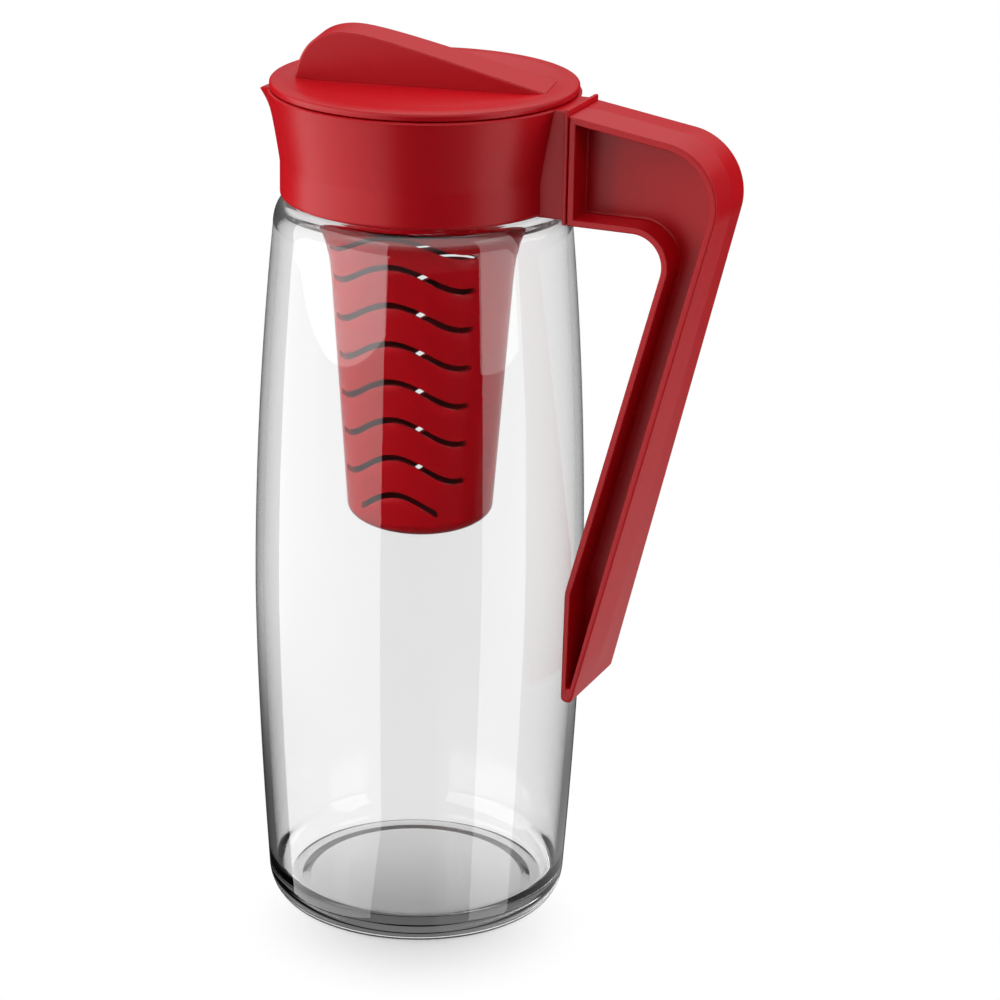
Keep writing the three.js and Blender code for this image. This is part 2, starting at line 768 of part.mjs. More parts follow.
const carafe = new THREE.Group();
carafe.add(toMesh("glass_body", glassBody(), 0xf4f8f7, 0.03, glassLook));
carafe.add(toMesh("collar", collar(), red, 0.32));
carafe.add(toMesh("collar_gasket", collarGasket(), 0xd8d8d4, 0.55));
carafe.add(toMesh("handle", handle(), red, 0.32));

const lid = new THREE.Group();
lid.rotation.z = lidTurn;
lid.add(toMesh("lid_cap", lidCap(), red, 0.32));
lid.add(toMesh("lid_plug", lidPlug(), red, 0.38));
lid.add(toMesh("lid_seal", lidSeal(), 0xd8d8d4, 0.55));
const basket = toMesh("infuser_basket", infuserBasket(), red, 0.34);
basket.rotation.z = -lidTurn;
lid.add(basket);
carafe.add(lid);

export default carafe;
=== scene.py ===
from functools import partial
from math import atan, atan2, copysign, cos, hypot, pi, radians, sin, tan

import bmesh
import bpy
import numpy as np
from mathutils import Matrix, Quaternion, Vector


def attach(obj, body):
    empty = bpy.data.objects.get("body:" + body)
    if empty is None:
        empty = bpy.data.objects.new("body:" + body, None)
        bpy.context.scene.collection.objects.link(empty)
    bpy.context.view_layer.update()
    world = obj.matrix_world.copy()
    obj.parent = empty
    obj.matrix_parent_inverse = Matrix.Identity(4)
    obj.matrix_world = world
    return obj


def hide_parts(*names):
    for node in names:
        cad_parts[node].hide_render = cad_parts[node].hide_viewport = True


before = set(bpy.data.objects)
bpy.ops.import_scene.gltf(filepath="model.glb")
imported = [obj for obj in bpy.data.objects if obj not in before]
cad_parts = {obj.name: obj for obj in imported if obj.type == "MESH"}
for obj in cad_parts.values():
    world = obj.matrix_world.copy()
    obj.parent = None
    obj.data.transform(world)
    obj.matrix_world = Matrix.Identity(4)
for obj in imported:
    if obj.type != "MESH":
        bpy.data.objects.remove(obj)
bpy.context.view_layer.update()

mm = 0.001
print("frame loaded")

# Sizes that several pieces share, in millimetres
fits = {
    "gap": 0.3,
    "neckRadius": 41.0,
    "neckFillet": 1.2,
    "glassWall": 2.6,
    "shoulderTop": 242.2,
    "mouthHeight": 262.0,
    "beadRadius": 42.0,
    "beadStart": 257.2,
    "collarFoot": 243.4,
    "collarRim": 278.4,
    "collarRadius": 46.2,
    "collarRimRadius": 50.3,
    "throatRadius": 40.6,
    "throatFoot": 264.9,
    "lugFace": 54.5,
    "lidUnderside": 278.7,
    "lidTurn": radians(10.9),
    "plugRadius": 36.2,
    "plugWall": 2.0,
    "plugFoot": 246.9,
    "plugTop": 278.4,
    "sealMiddle": 258.6,
    "sealHeight": 3.4,
    "bayonetMiddle": 250.6,
    "bayonetHeight": 2.9,
    "bayonetArc": radians(12),
    "bayonetTwist": radians(35),
}


def addNode(tree, kind, inputs=None, **settings):
    node = tree.nodes.new(kind)
    for key, value in settings.items():
        setattr(node, key, value)
    for key, value in (inputs or {}).items():
        socket = node.inputs[key]
        if isinstance(value, bpy.types.NodeSocket):
            tree.links.new(value, socket)
        else:
            socket.default_value = value
    return node


def mixValue(tree, factor, first, second):
    return addNode(tree, "ShaderNodeMix", {0: factor, 2: first, 3: second}, data_type="FLOAT").outputs[0]


def calc(tree, operation, *values):
    return addNode(tree, "ShaderNodeMath", dict(enumerate(values)), operation=operation).outputs[0]


def vectorCalc(tree, operation, *values):
    node = addNode(tree, "ShaderNodeVectorMath", dict(enumerate(values)), operation=operation)
    return node.outputs["Value" if operation in ("LENGTH", "DOT_PRODUCT") else "Vector"]


def fade(tree, value, low, high, start=0.0, end=1.0):
    ends = {"Value": value, "From Min": low, "From Max": high, "To Min": start, "To Max": end}
    return addNode(tree, "ShaderNodeMapRange", ends, interpolation_type="SMOOTHSTEP").outputs["Result"]


def vectorOf(tree, x=0.0, y=0.0, z=0.0):
    return addNode(tree, "ShaderNodeCombineXYZ", {0: x, 1: y, 2: z}).outputs[0]


# What a tree's code calls most: a new node, a sum of any kind, a product and a difference
def toolsFor(tree):
    times, minus = [partial(calc, tree, kind) for kind in ("MULTIPLY", "SUBTRACT")]
    return partial(addNode, tree), partial(calc, tree), times, minus


def objectPlace(tree):
    return tree.nodes.new("ShaderNodeTexCoord").outputs["Object"]


def noise(tree, place, scale, detail, roughness):
    inputs = {"Vector": place, "Scale": scale, "Detail": detail, "Roughness": roughness}
    return addNode(tree, "ShaderNodeTexNoise", inputs).outputs["Fac"]


socketKinds = {float: "Float", int: "Int", tuple: "Color"}


# An input is given by its default value, or by its kind where it has none
def addSockets(tree, inputs, outputs):
    for name, default in inputs.items():
        plain = isinstance(default, str)
        kind = "NodeSocket" + (default if plain else socketKinds[type(default)])
        socket = tree.interface.new_socket(name, in_out="INPUT", socket_type=kind)
        if not plain:
            socket.default_value = default
    for name, kind in outputs.items():
        tree.interface.new_socket(name, in_out="OUTPUT", socket_type="NodeSocket" + kind)
    return tree.nodes.new("NodeGroupInput").outputs, tree.nodes.new("NodeGroupOutput").inputs


def addObject(name, data):
    made = bpy.data.objects.new(name, data)
    bpy.context.scene.collection.objects.link(made)
    return made


def newMaterial(name):
    material = bpy.data.materials.new(name)
    material.use_nodes = True
    material.node_tree.nodes.clear()
    return material, material.node_tree


def showShader(tree, shader, kind="Material"):
    out = tree.nodes.new("ShaderNodeOutput" + kind)
    tree.links.new(shader.outputs[0], out.inputs["Surface"])


shot = {
    "azimuth": 24.0,
    "elevation": 18.8,
    "distance": 1.165,
    "target": (0, 0, 0.1539),
    "lens": 127.1,
    "roll": 0.62,
    "shiftX": 0.0794,
    "shiftY": -0.043,
}


def sideOf(azimuth):
    turn = radians(azimuth)
    return Vector((sin(turn), -cos(turn), 0))


def addCamera():
    rise = radians(shot["elevation"])
    back = sideOf(shot["azimuth"]) * cos(rise) + Vector((0, 0, sin(rise)))
    data = bpy.data.cameras.new("camera")
    data.sensor_width = 36
    data.lens = shot["lens"]
    data.shift_x = shot["shiftX"]
    data.shift_y = shot["shiftY"]
    camera = addObject("camera", data)
    camera.location = Vector(shot["target"]) + back * shot["distance"]
    camera.rotation_mode = "QUATERNION"
    level = (-back).to_track_quat("-Z", "Y")
    camera.rotation_quaternion = level @ Quaternion((0, 0, 1), radians(shot["roll"]))
    bpy.context.scene.camera = camera


# Angles are from the camera's side of the carafe, positive to the right. Gloss and glass mirror the panels,
# and the keys light the plastic.
lampKeys = ("angle", "distance", "height", "size", "brightness", "kind")
lamps = {name: dict(zip(lampKeys, values)) for name, values in {
    "panelLeft": (-70, 1.1, 0.12, (2.1, 1.9), 2.7, "panel"),
    "panelRight": (60, 1.1, 0.12, (0.68, 1.9), 2.25, "panel"),
    "keyLeft": (-83, 1.1, 0.12, (0.9, 1.9), 4.2, "key"),
    "keyRight": (88, 1.1, 0.12, (0.9, 1.9), 2.9, "key"),
    "keyTop": (160, 0.35, 1.25, (1.1, 1.1), 1.4, "top"),
}.items()}
lampTarget = (0, 0, 0.15)


def addLamp(name, lamp):
    data = bpy.data.lights.new(name, "AREA")
    data.shape = "RECTANGLE"
    data.size, data.size_y = lamp["size"]
    data.energy = lamp["brightness"] * pi * data.size * data.size_y
    light = addObject(name, data)
    side = sideOf(shot["azimuth"] + lamp["angle"])
    light.location = side * lamp["distance"] + Vector((0, 0, lamp["height"]))
    aim = Vector(lampTarget) - light.location
    if lamp["kind"] != "top":
        aim.z = 0
    light.rotation_mode = "QUATERNION"
    light.rotation_quaternion = aim.to_track_quat("-Z", "Y")
    light.visible_camera = False
    light.visible_diffuse = lamp["kind"] != "panel"
    light.visible_glossy = lamp["kind"] != "key"
    light.visible_transmission = lamp["kind"] == "panel"


# Grey levels, and the edges of each bright patch as shares of the way up and to one side. Gloss on the
# plastic sees room, ceiling, brow (above the camera) and low (down to the right). Inside lights the infuser.
backdrop = {
    "white": 1.0,
    "room": 0.012,
    "ceiling": 0.8,
    "ceilingEdge": (0.15, 0.42),
    "brow": 2.8,
    "browEdge": (0.36, 0.5),
    "browSide": (0.25, 0.45),
    "low": 0.5,
    "lowEdge": (-0.36, -0.48),
    "lowSide": (0.15, 0.3),
    "fill": 0.07,
    "inside": 0.45,
    "insideLeft": 2.9,
    "insideRight": 4.0,
    "insideSide": (0.3, 0.8),
    "mirrored": 0.18,
}


# Masks: what the camera sees straight or through clear glass, what it sees mirrored inside the glass, what no
# diffuse surface has scattered, and what comes through glass
def lightMasks(tree):
    _, do, times, minus = toolsFor(tree)
    path = tree.nodes.new("ShaderNodeLightPath").outputs
    throughGlass = path["Is Transmission Ray"]
    direct = do("LESS_THAN", path["Diffuse Depth"], 0.5)
    clear = times(throughGlass, direct)
    mirrored = times(clear, do("GREATER_THAN", path["Glossy Depth"], 0.5))
    seen = do("MAXIMUM", path["Is Camera Ray"], minus(clear, mirrored))
    return seen, mirrored, direct, throughGlass


def addWorld():
    b = backdrop
    world = bpy.data.worlds.new("studio")
    world.use_nodes = True
    tree = world.node_tree
    tree.nodes.clear()
    way = tree.nodes.new("ShaderNodeTexCoord").outputs["Generated"]
    rise = addNode(tree, "ShaderNodeSeparateXYZ", {"Vector": way}).outputs["Z"]
    front, right, left = [vectorCalc(tree, "DOT_PRODUCT", way, sideOf(shot["azimuth"] + turn))
                          for turn in (0, 90, -90)]
    gloss = mixValue(tree, fade(tree, rise, *b["ceilingEdge"]), b["room"], b["ceiling"])
    for patch, side in (("brow", front), ("low", right)):
        upward, sideways = fade(tree, rise, *b[patch + "Edge"]), fade(tree, side, *b[patch + "Side"])
        gloss = mixValue(tree, calc(tree, "MULTIPLY", upward, sideways), gloss, b[patch])
    inside = b["inside"]
    for patch, side in (("insideRight", right), ("insideLeft", left)):
        inside = mixValue(tree, fade(tree, side, *b["insideSide"]), inside, b[patch])
    seen, mirrored, direct, throughGlass = lightMasks(tree)
    lit = mixValue(tree, direct, mixValue(tree, throughGlass, b["fill"], inside), gloss)
    shown = mixValue(tree, mirrored, mixValue(tree, seen, lit, b["white"]), b["mirrored"])
    showShader(tree, addNode(tree, "ShaderNodeBackground", {"Color": shown, "Strength": 1}), "World")
    bpy.context.scene.world = world


# Shares of the plain white that the camera sees, the rest being the lit table with its real shadow: under the
# glass falling from back to front as painted shade, and beyond its foot as a painted shadow round a spot in
# front of it. The mirrored
# levels are a painted reflection: the table glows at them only for rays mirrored inside the glass, dark at
# its foot and in front.
table = {
    "size": 12.0,
    "colour": (0.42, 0.42, 0.42, 1),
    "roughness": 0.16,
    # painted shade under the glass: the white share falls from back to front
    "underShadeRun": (-0.05, 0.045),
    "underShadeShare": (0.85, 0.3),
    "footEdge": (0.042, 0.047),
    "shadeForward": 0.03,
    "shadeRun": (0.0, 0.06),
    "shadeShare": (0.45, 1.0),
    # painted reflection: glow levels of the table that only rays mirrored inside the glass see, low at the
    # foot and in front
    "mirroredFoot": 0.13,
    "mirroredFar": 0.68,
    "mirroredFront": 0.04,
    "mirroredEdge": (0.1, 0.32),
    "mirroredRun": (0.08, 0.3),
    "drop": 0.0004,
}


def addTable():
    t = table
    half = t["size"] / 2
    mesh = bpy.data.meshes.new("tableTop")
    corners = [(x * half, y * half, -t["drop"]) for x, y in ((-1, -1), (1, -1), (1, 1), (-1, 1))]
    mesh.from_pydata(corners, [], [(0, 1, 2, 3)])
    top = addObject("tableTop", mesh)
    material, tree = newMaterial("paleTable")
    place = objectPlace(tree)
    front = sideOf(shot["azimuth"])
    forward = vectorCalc(tree, "DOT_PRODUCT", place, front)
    fromAxis = vectorCalc(tree, "LENGTH", place)
    fromShade = vectorCalc(tree, "LENGTH", vectorCalc(tree, "SUBTRACT", place, front * t["shadeForward"]))
    # painted shadow: the white share rises away from a spot in front of the foot, so the lit table's shade
    # shows round it
    outside = fade(tree, fromShade, *t["shadeRun"], *t["shadeShare"])
    # painted shade: under the glass the white share falls from back to front, so more of the table's real
    # shadow shows in front
    under = fade(tree, forward, *t["underShadeRun"], *t["underShadeShare"])
    share = mixValue(tree, fade(tree, fromAxis, *t["footEdge"]), under, outside)
    seen, mirrored = lightMasks(tree)[:2]
    # painted reflection: the table glows dark near its foot and in front, brighter far off, for rays mirrored
    # inside the glass
    paintedInGlass = mixValue(tree, fade(tree, fromAxis, *t["mirroredEdge"]), t["mirroredFoot"], t["mirroredFar"])
    paintedInGlass = mixValue(tree, fade(tree, forward, *t["mirroredRun"]), paintedInGlass, t["mirroredFront"])
    shown = addNode(tree, "ShaderNodeBsdfPrincipled", {"Base Color": t["colour"], "Roughness": t["roughness"],
                    "Specular IOR Level": 0.5})
    for factor, level in ((calc(tree, "MULTIPLY", seen, share), backdrop["white"]), (mirrored, paintedInGlass)):
        glow = addNode(tree, "ShaderNodeEmission", {"Color": (1, 1, 1, 1), "Strength": level})
        shown = addNode(tree, "ShaderNodeMixShader", {0: factor, 1: shown.outputs[0], 2: glow.outputs[0]})
    showShader(tree, shown)
    mesh.materials.append(material)
    top.visible_glossy = False


addCamera()
for lampName, lamp in lamps.items():
    addLamp(lampName, lamp)
addWorld()
addTable()
bpy.context.scene.view_settings.view_transform = "Standard"
print("camera, lights and table placed")


def mouldedSurface():
    tree = bpy.data.node_groups.new("mouldedSurface", "ShaderNodeTree")
    given, result = addSockets(tree, {
        "Colour": (0.5, 0.01, 0.01, 1),
        "Shade": 0.04,
        "Flow Scale": 22.0,
        "Roughness": 0.3,
        "Roughness Spread": 0.05,
        "Grain Scale": 2600.0,
        "Wear Scale": 190.0,
        "Grain Height": 0.00001,
        "Ripple Height": 0.00005,
    }, {"Colour": "Color", "Roughness": "Float", "Height": "Float"})
    _, do, times, minus = toolsFor(tree)
    place = objectPlace(tree)
    flow = noise(tree, place, given["Flow Scale"], 3.0, 0.55)
    grain = noise(tree, place, given["Grain Scale"], 2.0, 0.6)
    wear = noise(tree, place, given["Wear Scale"], 4.0, 0.7)
    tone = do("MULTIPLY_ADD", minus(flow, 0.5), given["Shade"], 1.0)
    shaded = vectorCalc(tree, "SCALE", given["Colour"])
    tree.links.new(tone, shaded.node.inputs["Scale"])
    tree.links.new(shaded, result["Colour"])
    spread = times(minus(wear, 0.5), given["Roughness Spread"])
    tree.links.new(do("ADD", given["Roughness"], spread), result["Roughness"])
    fine = times(grain, given["Grain Height"])
    tree.links.new(do("MULTIPLY_ADD", flow, given["Ripple Height"], fine), result["Height"])
    return tree


moulded = mouldedSurface()


def mouldedMaterial(name, colour, finish, shader):
    material, tree = newMaterial(name)
    group = addNode(tree, "ShaderNodeGroup", node_tree=moulded)
    for key, value in {"Colour": colour, **finish}.items():
        group.inputs[key].default_value = value
    look = group.outputs
    bump = addNode(tree, "ShaderNodeBump", {"Height": look["Height"], "Strength": 1.0, "Distance": 1.0})
    showShader(tree, addNode(tree, "ShaderNodeBsdfPrincipled", {
        "Base Color": look["Colour"], "Roughness": look["Roughness"], "Normal": bump.outputs[0], **shader}))
    return material


redPlastic = mouldedMaterial("redPlastic", (0.5, 0.0015, 0.007, 1), {
    "Shade": 0.05,
    "Roughness": 0.33,
    "Roughness Spread": 0.05,
    "Grain Height": 0.0000004,
    "Ripple Height": 0.000008,
}, {"IOR": 1.49, "Specular IOR Level": 0.25})
basketPlastic = mouldedMaterial("basketPlastic", (0.42, 0.0015, 0.006, 1), {
    "Shade": 0.05,
    "Roughness": 0.2,
    "Roughness Spread": 0.06,
    "Grain Height": 0.0000006,
    "Ripple Height": 0.000012,
}, {"IOR": 1.49, "Specular IOR Level": 0.08})
softRubber = mouldedMaterial("softRubber", (0.72, 0.72, 0.70, 1), {
    "Shade": 0.05,
    "Roughness": 0.5,
    "Roughness Spread": 0.1,
    "Grain Height": 0.00001,
    "Ripple Height": 0.00002,
}, {"IOR": 1.43, "Subsurface Weight": 0.25, "Subsurface Scale": 0.002})


glassLook = {
    "Base Color": (0.94, 0.94, 0.94, 1),
    "IOR": 1.5,
    "Transmission Weight": 1.0,
}
glassFlaws = {
    "sway": (34.0, 1.0, 0.4),
    "swayStrength": 0.25,
    "swayHeight": 0.00006,
    "haze": (60.0, 3.0, 0.6),
    "hazeEdge": (0.35, 0.75),
    "hazeRoughness": 0.012,
}


def glassMaterial():
    material, tree = newMaterial("clearGlass")
    place = objectPlace(tree)
    low, high = glassFlaws["hazeEdge"]
    roughness = addNode(tree, "ShaderNodeMapRange", {
        "Value": noise(tree, place, *glassFlaws["haze"]), "From Min": low, "From Max": high,
        "To Max": glassFlaws["hazeRoughness"]}).outputs["Result"]
    bump = addNode(tree, "ShaderNodeBump", {"Height": noise(tree, place, *glassFlaws["sway"]),
                   "Strength": glassFlaws["swayStrength"], "Distance": glassFlaws["swayHeight"]})
    showShader(tree, addNode(tree, "ShaderNodeBsdfPrincipled", {
        "Roughness": roughness, "Normal": bump.outputs[0], **glassLook}))
    return material


clearGlass = glassMaterial()
print("materials ready")


def arc(centre, radius, start, end, steps):
    turns = np.linspace(start, end, steps + 1)
    return [(centre[0] + radius * cos(t), centre[1] + radius * sin(t)) for t in turns]


# A corner with a third value is rounded to that radius
def rounded(corners, closed=False, steps=6):
    points = []
    count = len(corners)
    for i, corner in enumerate(corners):
        radius = corner[2] if len(corner) > 2 else 0
        if not radius or (not closed and i in (0, count - 1)):
            points.append(tuple(corner[:2]))
            continue
        here = Vector(corner[:2])
        toBefore = Vector(corners[i - 1][:2]) - here
        toAfter = Vector(corners[(i + 1) % count][:2]) - here
        opening = toBefore.angle(toAfter)
        run = radius / tan(opening / 2)
        limit = min(toBefore.length, toAfter.length) * 0.49
        if run > limit:
            radius, run = radius * limit / run, limit
        first = here + toBefore.normalized() * run
        last = here + toAfter.normalized() * run
        middle = (toBefore.normalized() + toAfter.normalized()).normalized()
        centre = here + middle * (radius / sin(opening / 2))
        start = first - centre
        sweep = start.angle_signed(last - centre)
        for k in range(steps + 1):
            angle = -sweep * k / steps
            points.append((centre.x + start.x * cos(angle) - start.y * sin(angle),
                           centre.y + start.x * sin(angle) + start.y * cos(angle)))
    return points


# A quarter of a rounded corner, upright at its first end
def easedCorner(first, last, steps, power=2.0):
    points = []
    for i in range(steps + 1):
        turn = pi / 2 * i / steps
        across = cos(turn) ** (2 / power)
        along = sin(turn) ** (2 / power)
        points.append((last[0] + (first[0] - last[0]) * across, first[1] + (last[1] - first[1]) * along))
    return points


# Replaces a piece's mesh with what its modifiers make of it
def settle(piece):
    bpy.context.view_layer.update()
    ready = piece.evaluated_get(bpy.context.evaluated_depsgraph_get())
    mesh = bpy.data.meshes.new_from_object(ready)
    piece.modifiers.clear()
    piece.data = mesh
    return piece


def modify(piece, name, kind, **settings):
    modifier = piece.modifiers.new(name, kind)
    for key, value in settings.items():
        setattr(modifier, key, value)
    return settle(piece)


def smoothed(piece, sharpAngle, weighted=True):
    piece.data.shade_smooth()
    piece.data.set_sharp_from_angle(angle=radians(sharpAngle))
    return modify(piece, "evenNormals", "WEIGHTED_NORMAL", keep_sharp=True) if weighted else piece


def finishMesh(name, built, sharpAngle=38.0, weighted=False):
    mesh = bpy.data.meshes.new(name)
    bmesh.ops.remove_doubles(built, verts=built.verts, dist=1e-4)
    bmesh.ops.dissolve_degenerate(built, edges=built.edges, dist=1e-5)
    bmesh.ops.recalc_face_normals(built, faces=built.faces)
    bmesh.ops.scale(built, vec=(mm, mm, mm), verts=built.verts)
    built.to_mesh(mesh)
    built.free()
    return smoothed(addObject(name, mesh), sharpAngle, weighted)


# Turns an outline of (radius, height) round Z; the outline is closed, or ends on the axis at both ends
def turned(outline, sides, closed=True, change=None):
    built = bmesh.new()
    rings = []
    for place, (radius, height) in enumerate(outline):
        if radius < 1e-6:
            rings.append([built.verts.new((0, 0, height))])
            continue
        ring = []
        for i in range(sides):
            point = Vector(onCircle(radius, 2 * pi * i / sides, height))
            if change:
                point = change(point, place)
            ring.append(built.verts.new(point))
        rings.append(ring)
    pairs = list(zip(rings, rings[1:]))
    if closed:
        pairs.append((rings[-1], rings[0]))
    for low, high in pairs:
        for i in range(sides):
            j = (i + 1) % sides
            corners = [low[i % len(low)], low[j % len(low)], high[j % len(high)], high[i % len(high)]]
            unique = list(dict.fromkeys(corners))
            if len(unique) > 2:
                built.faces.new(unique)
    return built


def onCircle(radius, turn, height):
    return radius * cos(turn), radius * sin(turn), height


def around(middle, size):
    return middle - size / 2, middle + size / 2


def clamped(share):
    return min(max(share, 0), 1)


def bridge(built, first, second, flipped=False):
    for i in range(len(first)):
        j = (i + 1) % len(first)
        corners = [first[i], first[j], second[j], second[i]]
        built.faces.new([corners[k] for k in (1, 0, 3, 2)] if flipped else corners)


def joinTo(piece, others, operation="UNION"):
    for other in others:
        modify(piece, "join", "BOOLEAN", operation=operation, solver="EXACT", object=other)
        bpy.data.objects.remove(other)
    return piece


# Puts others into a piece's mesh as they are
def gather(piece, others):
    built = bmesh.new()
    for other in (piece, *others):
        built.from_mesh(other.data)
    built.to_mesh(piece.data)
    built.free()
    for other in others:
        bpy.data.objects.remove(other)
    return piece


def place(piece, body, node, slot, material):
    piece.data.materials.clear()
    piece.data.materials.append(material)
    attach(piece, body)
    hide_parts(node)
    return piece


def insetLoop(points, distance):
    moved = []
    count = len(points)
    reaches = distance if isinstance(distance, list) else [distance] * count
    area = sum(points[i - 1][0] * points[i][1] - points[i][0] * points[i - 1][1] for i in range(count))
    inward = 1 if area > 0 else -1
    for i, point in enumerate(points):
        here = Vector(point)
        arrive = (here - Vector(points[i - 1])).normalized()
        leave = (Vector(points[(i + 1) % count]) - here).normalized()
        normalIn = Vector((-arrive.y, arrive.x)) * inward
        normalOut = Vector((-leave.y, leave.x)) * inward
        middle = (normalIn + normalOut).normalized()
        reach = reaches[i] / max(middle.dot(normalOut), 0.2)
        moved.append((here.x + middle.x * reach, here.y + middle.y * reach))
    return moved


glass = {
    "footRadius": 44.7,
    "heelRadius": 50.2,
    "heelHeight": 9.2,
    "heelPower": 1.77,
    "bulgeRadius": 54.6,
    "bulgeHeight": 112.0,
    "shoulderRadius": 48.5,
    "shoulderStart": 233.5,
    "shoulderFlat": 44.2,
    "lowerPower": 1.6,
    "upperPower": 1.9,
    "floor": 5.0,
    "puntRadius": 38.0,
    "puntRise": 1.1,
    "puntEdge": (2.0, 1.4),
    "puntRounds": (3.0, 2.0),
    "neckRounds": (1.2, 0.6, 0.7, 1.2, 1.2, 1.6),
    "beadRise": 0.8,
    "shoulderInset": 1.3,
    "neckDrop": 0.2,
    "cavityEnds": (7, 2),
    "cavityStart": 15.5,
    "cavityInset": 3.2,
    "cavityPower": 1.9,
    "sides": 256,
    "sideSteps": 56,
    "baseSteps": 12,
    "shoulderSteps": (10, 8),
}


def glassSide(height):
    g = glass
    below = height < g["bulgeHeight"]
    end = g["heelHeight"] if below else g["shoulderStart"]
    edge = g["heelRadius"] if below else g["shoulderRadius"]
    power = g["lowerPower"] if below else g["upperPower"]
    share = (height - g["bulgeHeight"]) / (end - g["bulgeHeight"])
    return g["bulgeRadius"] - (g["bulgeRadius"] - edge) * share ** power


def makeGlass():
    g = glass
    wall = fits["glassWall"]
    top = fits["shoulderTop"]
    mouth = fits["neckRadius"] - wall
    heights = np.linspace(g["heelHeight"], g["shoulderStart"], g["sideSteps"] + 1)
    side = [(glassSide(h), float(h)) for h in heights]
    underside = rounded([
        (0, g["puntRise"]),
        (g["puntRadius"] - g["puntEdge"][0], g["puntRise"], g["puntRounds"][0]),
        (g["puntRadius"] + g["puntEdge"][1], 0, g["puntRounds"][1]),
        (g["footRadius"], 0),
    ])
    foot = (g["footRadius"], 0)
    heel = easedCorner((g["heelRadius"], g["heelHeight"]), foot, g["baseSteps"], g["heelPower"])[::-1]
    shoulder = easedCorner(side[-1], (g["shoulderFlat"], top), g["shoulderSteps"][0])
    neckCorners = [
        (fits["neckRadius"], top),
        (fits["neckRadius"], fits["beadStart"]),
        (fits["beadRadius"], fits["beadStart"] + g["beadRise"]),
        (fits["beadRadius"], fits["mouthHeight"]),
        (mouth, fits["mouthHeight"]),
        (mouth, top - g["neckDrop"]),
    ]
    neckEnd = (mouth + g["shoulderInset"], top - wall)
    neckCorners = [(*corner, radius) for corner, radius in zip(neckCorners, g["neckRounds"])]
    neck = rounded([(g["shoulderFlat"], top), *neckCorners, neckEnd])
    shoulderInside = easedCorner((side[-1][0] - wall, g["shoulderStart"] - wall / 2), neckEnd,
                                 g["shoulderSteps"][1])[::-1]
    low, high = g["heelHeight"] + g["cavityEnds"][0], g["shoulderStart"] - g["cavityEnds"][1]
    inside = [(r - wall, h) for r, h in side if low < h < high][::-1]
    floorEdge = (g["footRadius"] - wall - g["cavityInset"], g["floor"])
    base = easedCorner((glassSide(g["cavityStart"]) - wall, g["cavityStart"]), floorEdge, g["baseSteps"],
                       g["cavityPower"])
    outside = [*underside[:-1], *heel, *side[1:], *shoulder[1:], *neck[1:]]
    outline = [*outside, *shoulderInside[1:], *inside, *base, (0, g["floor"])]
    built = turned(outline, g["sides"], closed=False)
    return finishMesh("glassJug", built, sharpAngle=60, weighted=True)


place(makeGlass(), "jug", "glass_body", "clear_glass", clearGlass)
print("glass made")


spout = {
    "reach": 7.6,
    "drop": 5.4,
    "start": 255.0,
    "innerStart": 267.1,
    "halfAngle": radians(29),
    "power": 1.3,
    "nose": 0.14,
    "reachPower": 1.9,
    "dropPower": 1.35,
    "gather": 0.5,
}
collarShape = {
    "footRound": 1.3,
    "waist": 254.5,
    "flarePower": 1.1,
    "lipWall": 1.9,
    "rimRound": 0.8,
    "footInside": 42.6,
    "lipLean": 0.5,
    "pocketChamfer": 0.9,
    "throatDrop": 2.2,
    "throatRound": 2.0,
    "innerRound": 0.4,
    "sides": 320,
    "flareSteps": 18,
}
lugShape = {
    "root": 40.0,
    "halfWidth": 11.0,
    "edge": 0.5,
    "plateThickness": 1.3,
    "plateTop": 279.2,
    "plateFoot": 242.3,
    "plateEdge": 0.35,
    "faceInset": 0.6,
    "boreRadii": (46.0, 48.2),
    "boreEnds": (5, 3),
    "boreSides": 96,
}


# Straight lips run from the nose to the rim, as the sides of a V do
def drawSpout(point, start):
    s = spout
    radius = hypot(point.x, point.y)
    angle = atan2(-point.y, -point.x)
    angle -= s["gather"] * sin(angle)
    climb = clamped((point.z - start) / (fits["collarRim"] - start)) ** s["power"]
    nose = s["nose"]
    across = (hypot(angle / s["halfAngle"], nose) - nose) / (hypot(1, nose) - nose)
    left = max(1 - across, 0)
    pull = left ** s["reachPower"] * climb
    drawn = radius + s["reach"] * pull * radius / max(radius, fits["plugRadius"])
    drop = s["drop"] * left ** s["dropPower"] * climb
    return Vector((-drawn * cos(angle), -drawn * sin(angle), point.z - drop))


def collarFlare(height):
    waist, radius = collarShape["waist"], fits["collarRadius"]
    climb = clamped((height - waist) / (fits["collarRim"] - waist))
    return radius + (fits["collarRimRadius"] - radius) * climb ** collarShape["flarePower"]


def handleWidth(height):
    return max(handleShape["middleWidth"] - handleShape["widthLean"] * (height - handleShape["middle"]),
               handleShape["leastWidth"])


# A four-cornered bar along Y whose width follows the handle, with rounded edges
def roundedBlock(low, high, widthAt, edge, steps=4):
    built = bmesh.new()
    bmesh.ops.create_cube(built, size=1)
    for vert in built.verts:
        x = low[0] if vert.co.x < 0 else high[0]
        z = low[1] if vert.co.z < 0 else high[1]
        vert.co = Vector((x, copysign(widthAt(z) / 2, vert.co.y), z))
    bmesh.ops.bevel(built, geom=built.edges, offset=edge, segments=steps, profile=0.5, affect="EDGES")
    return built


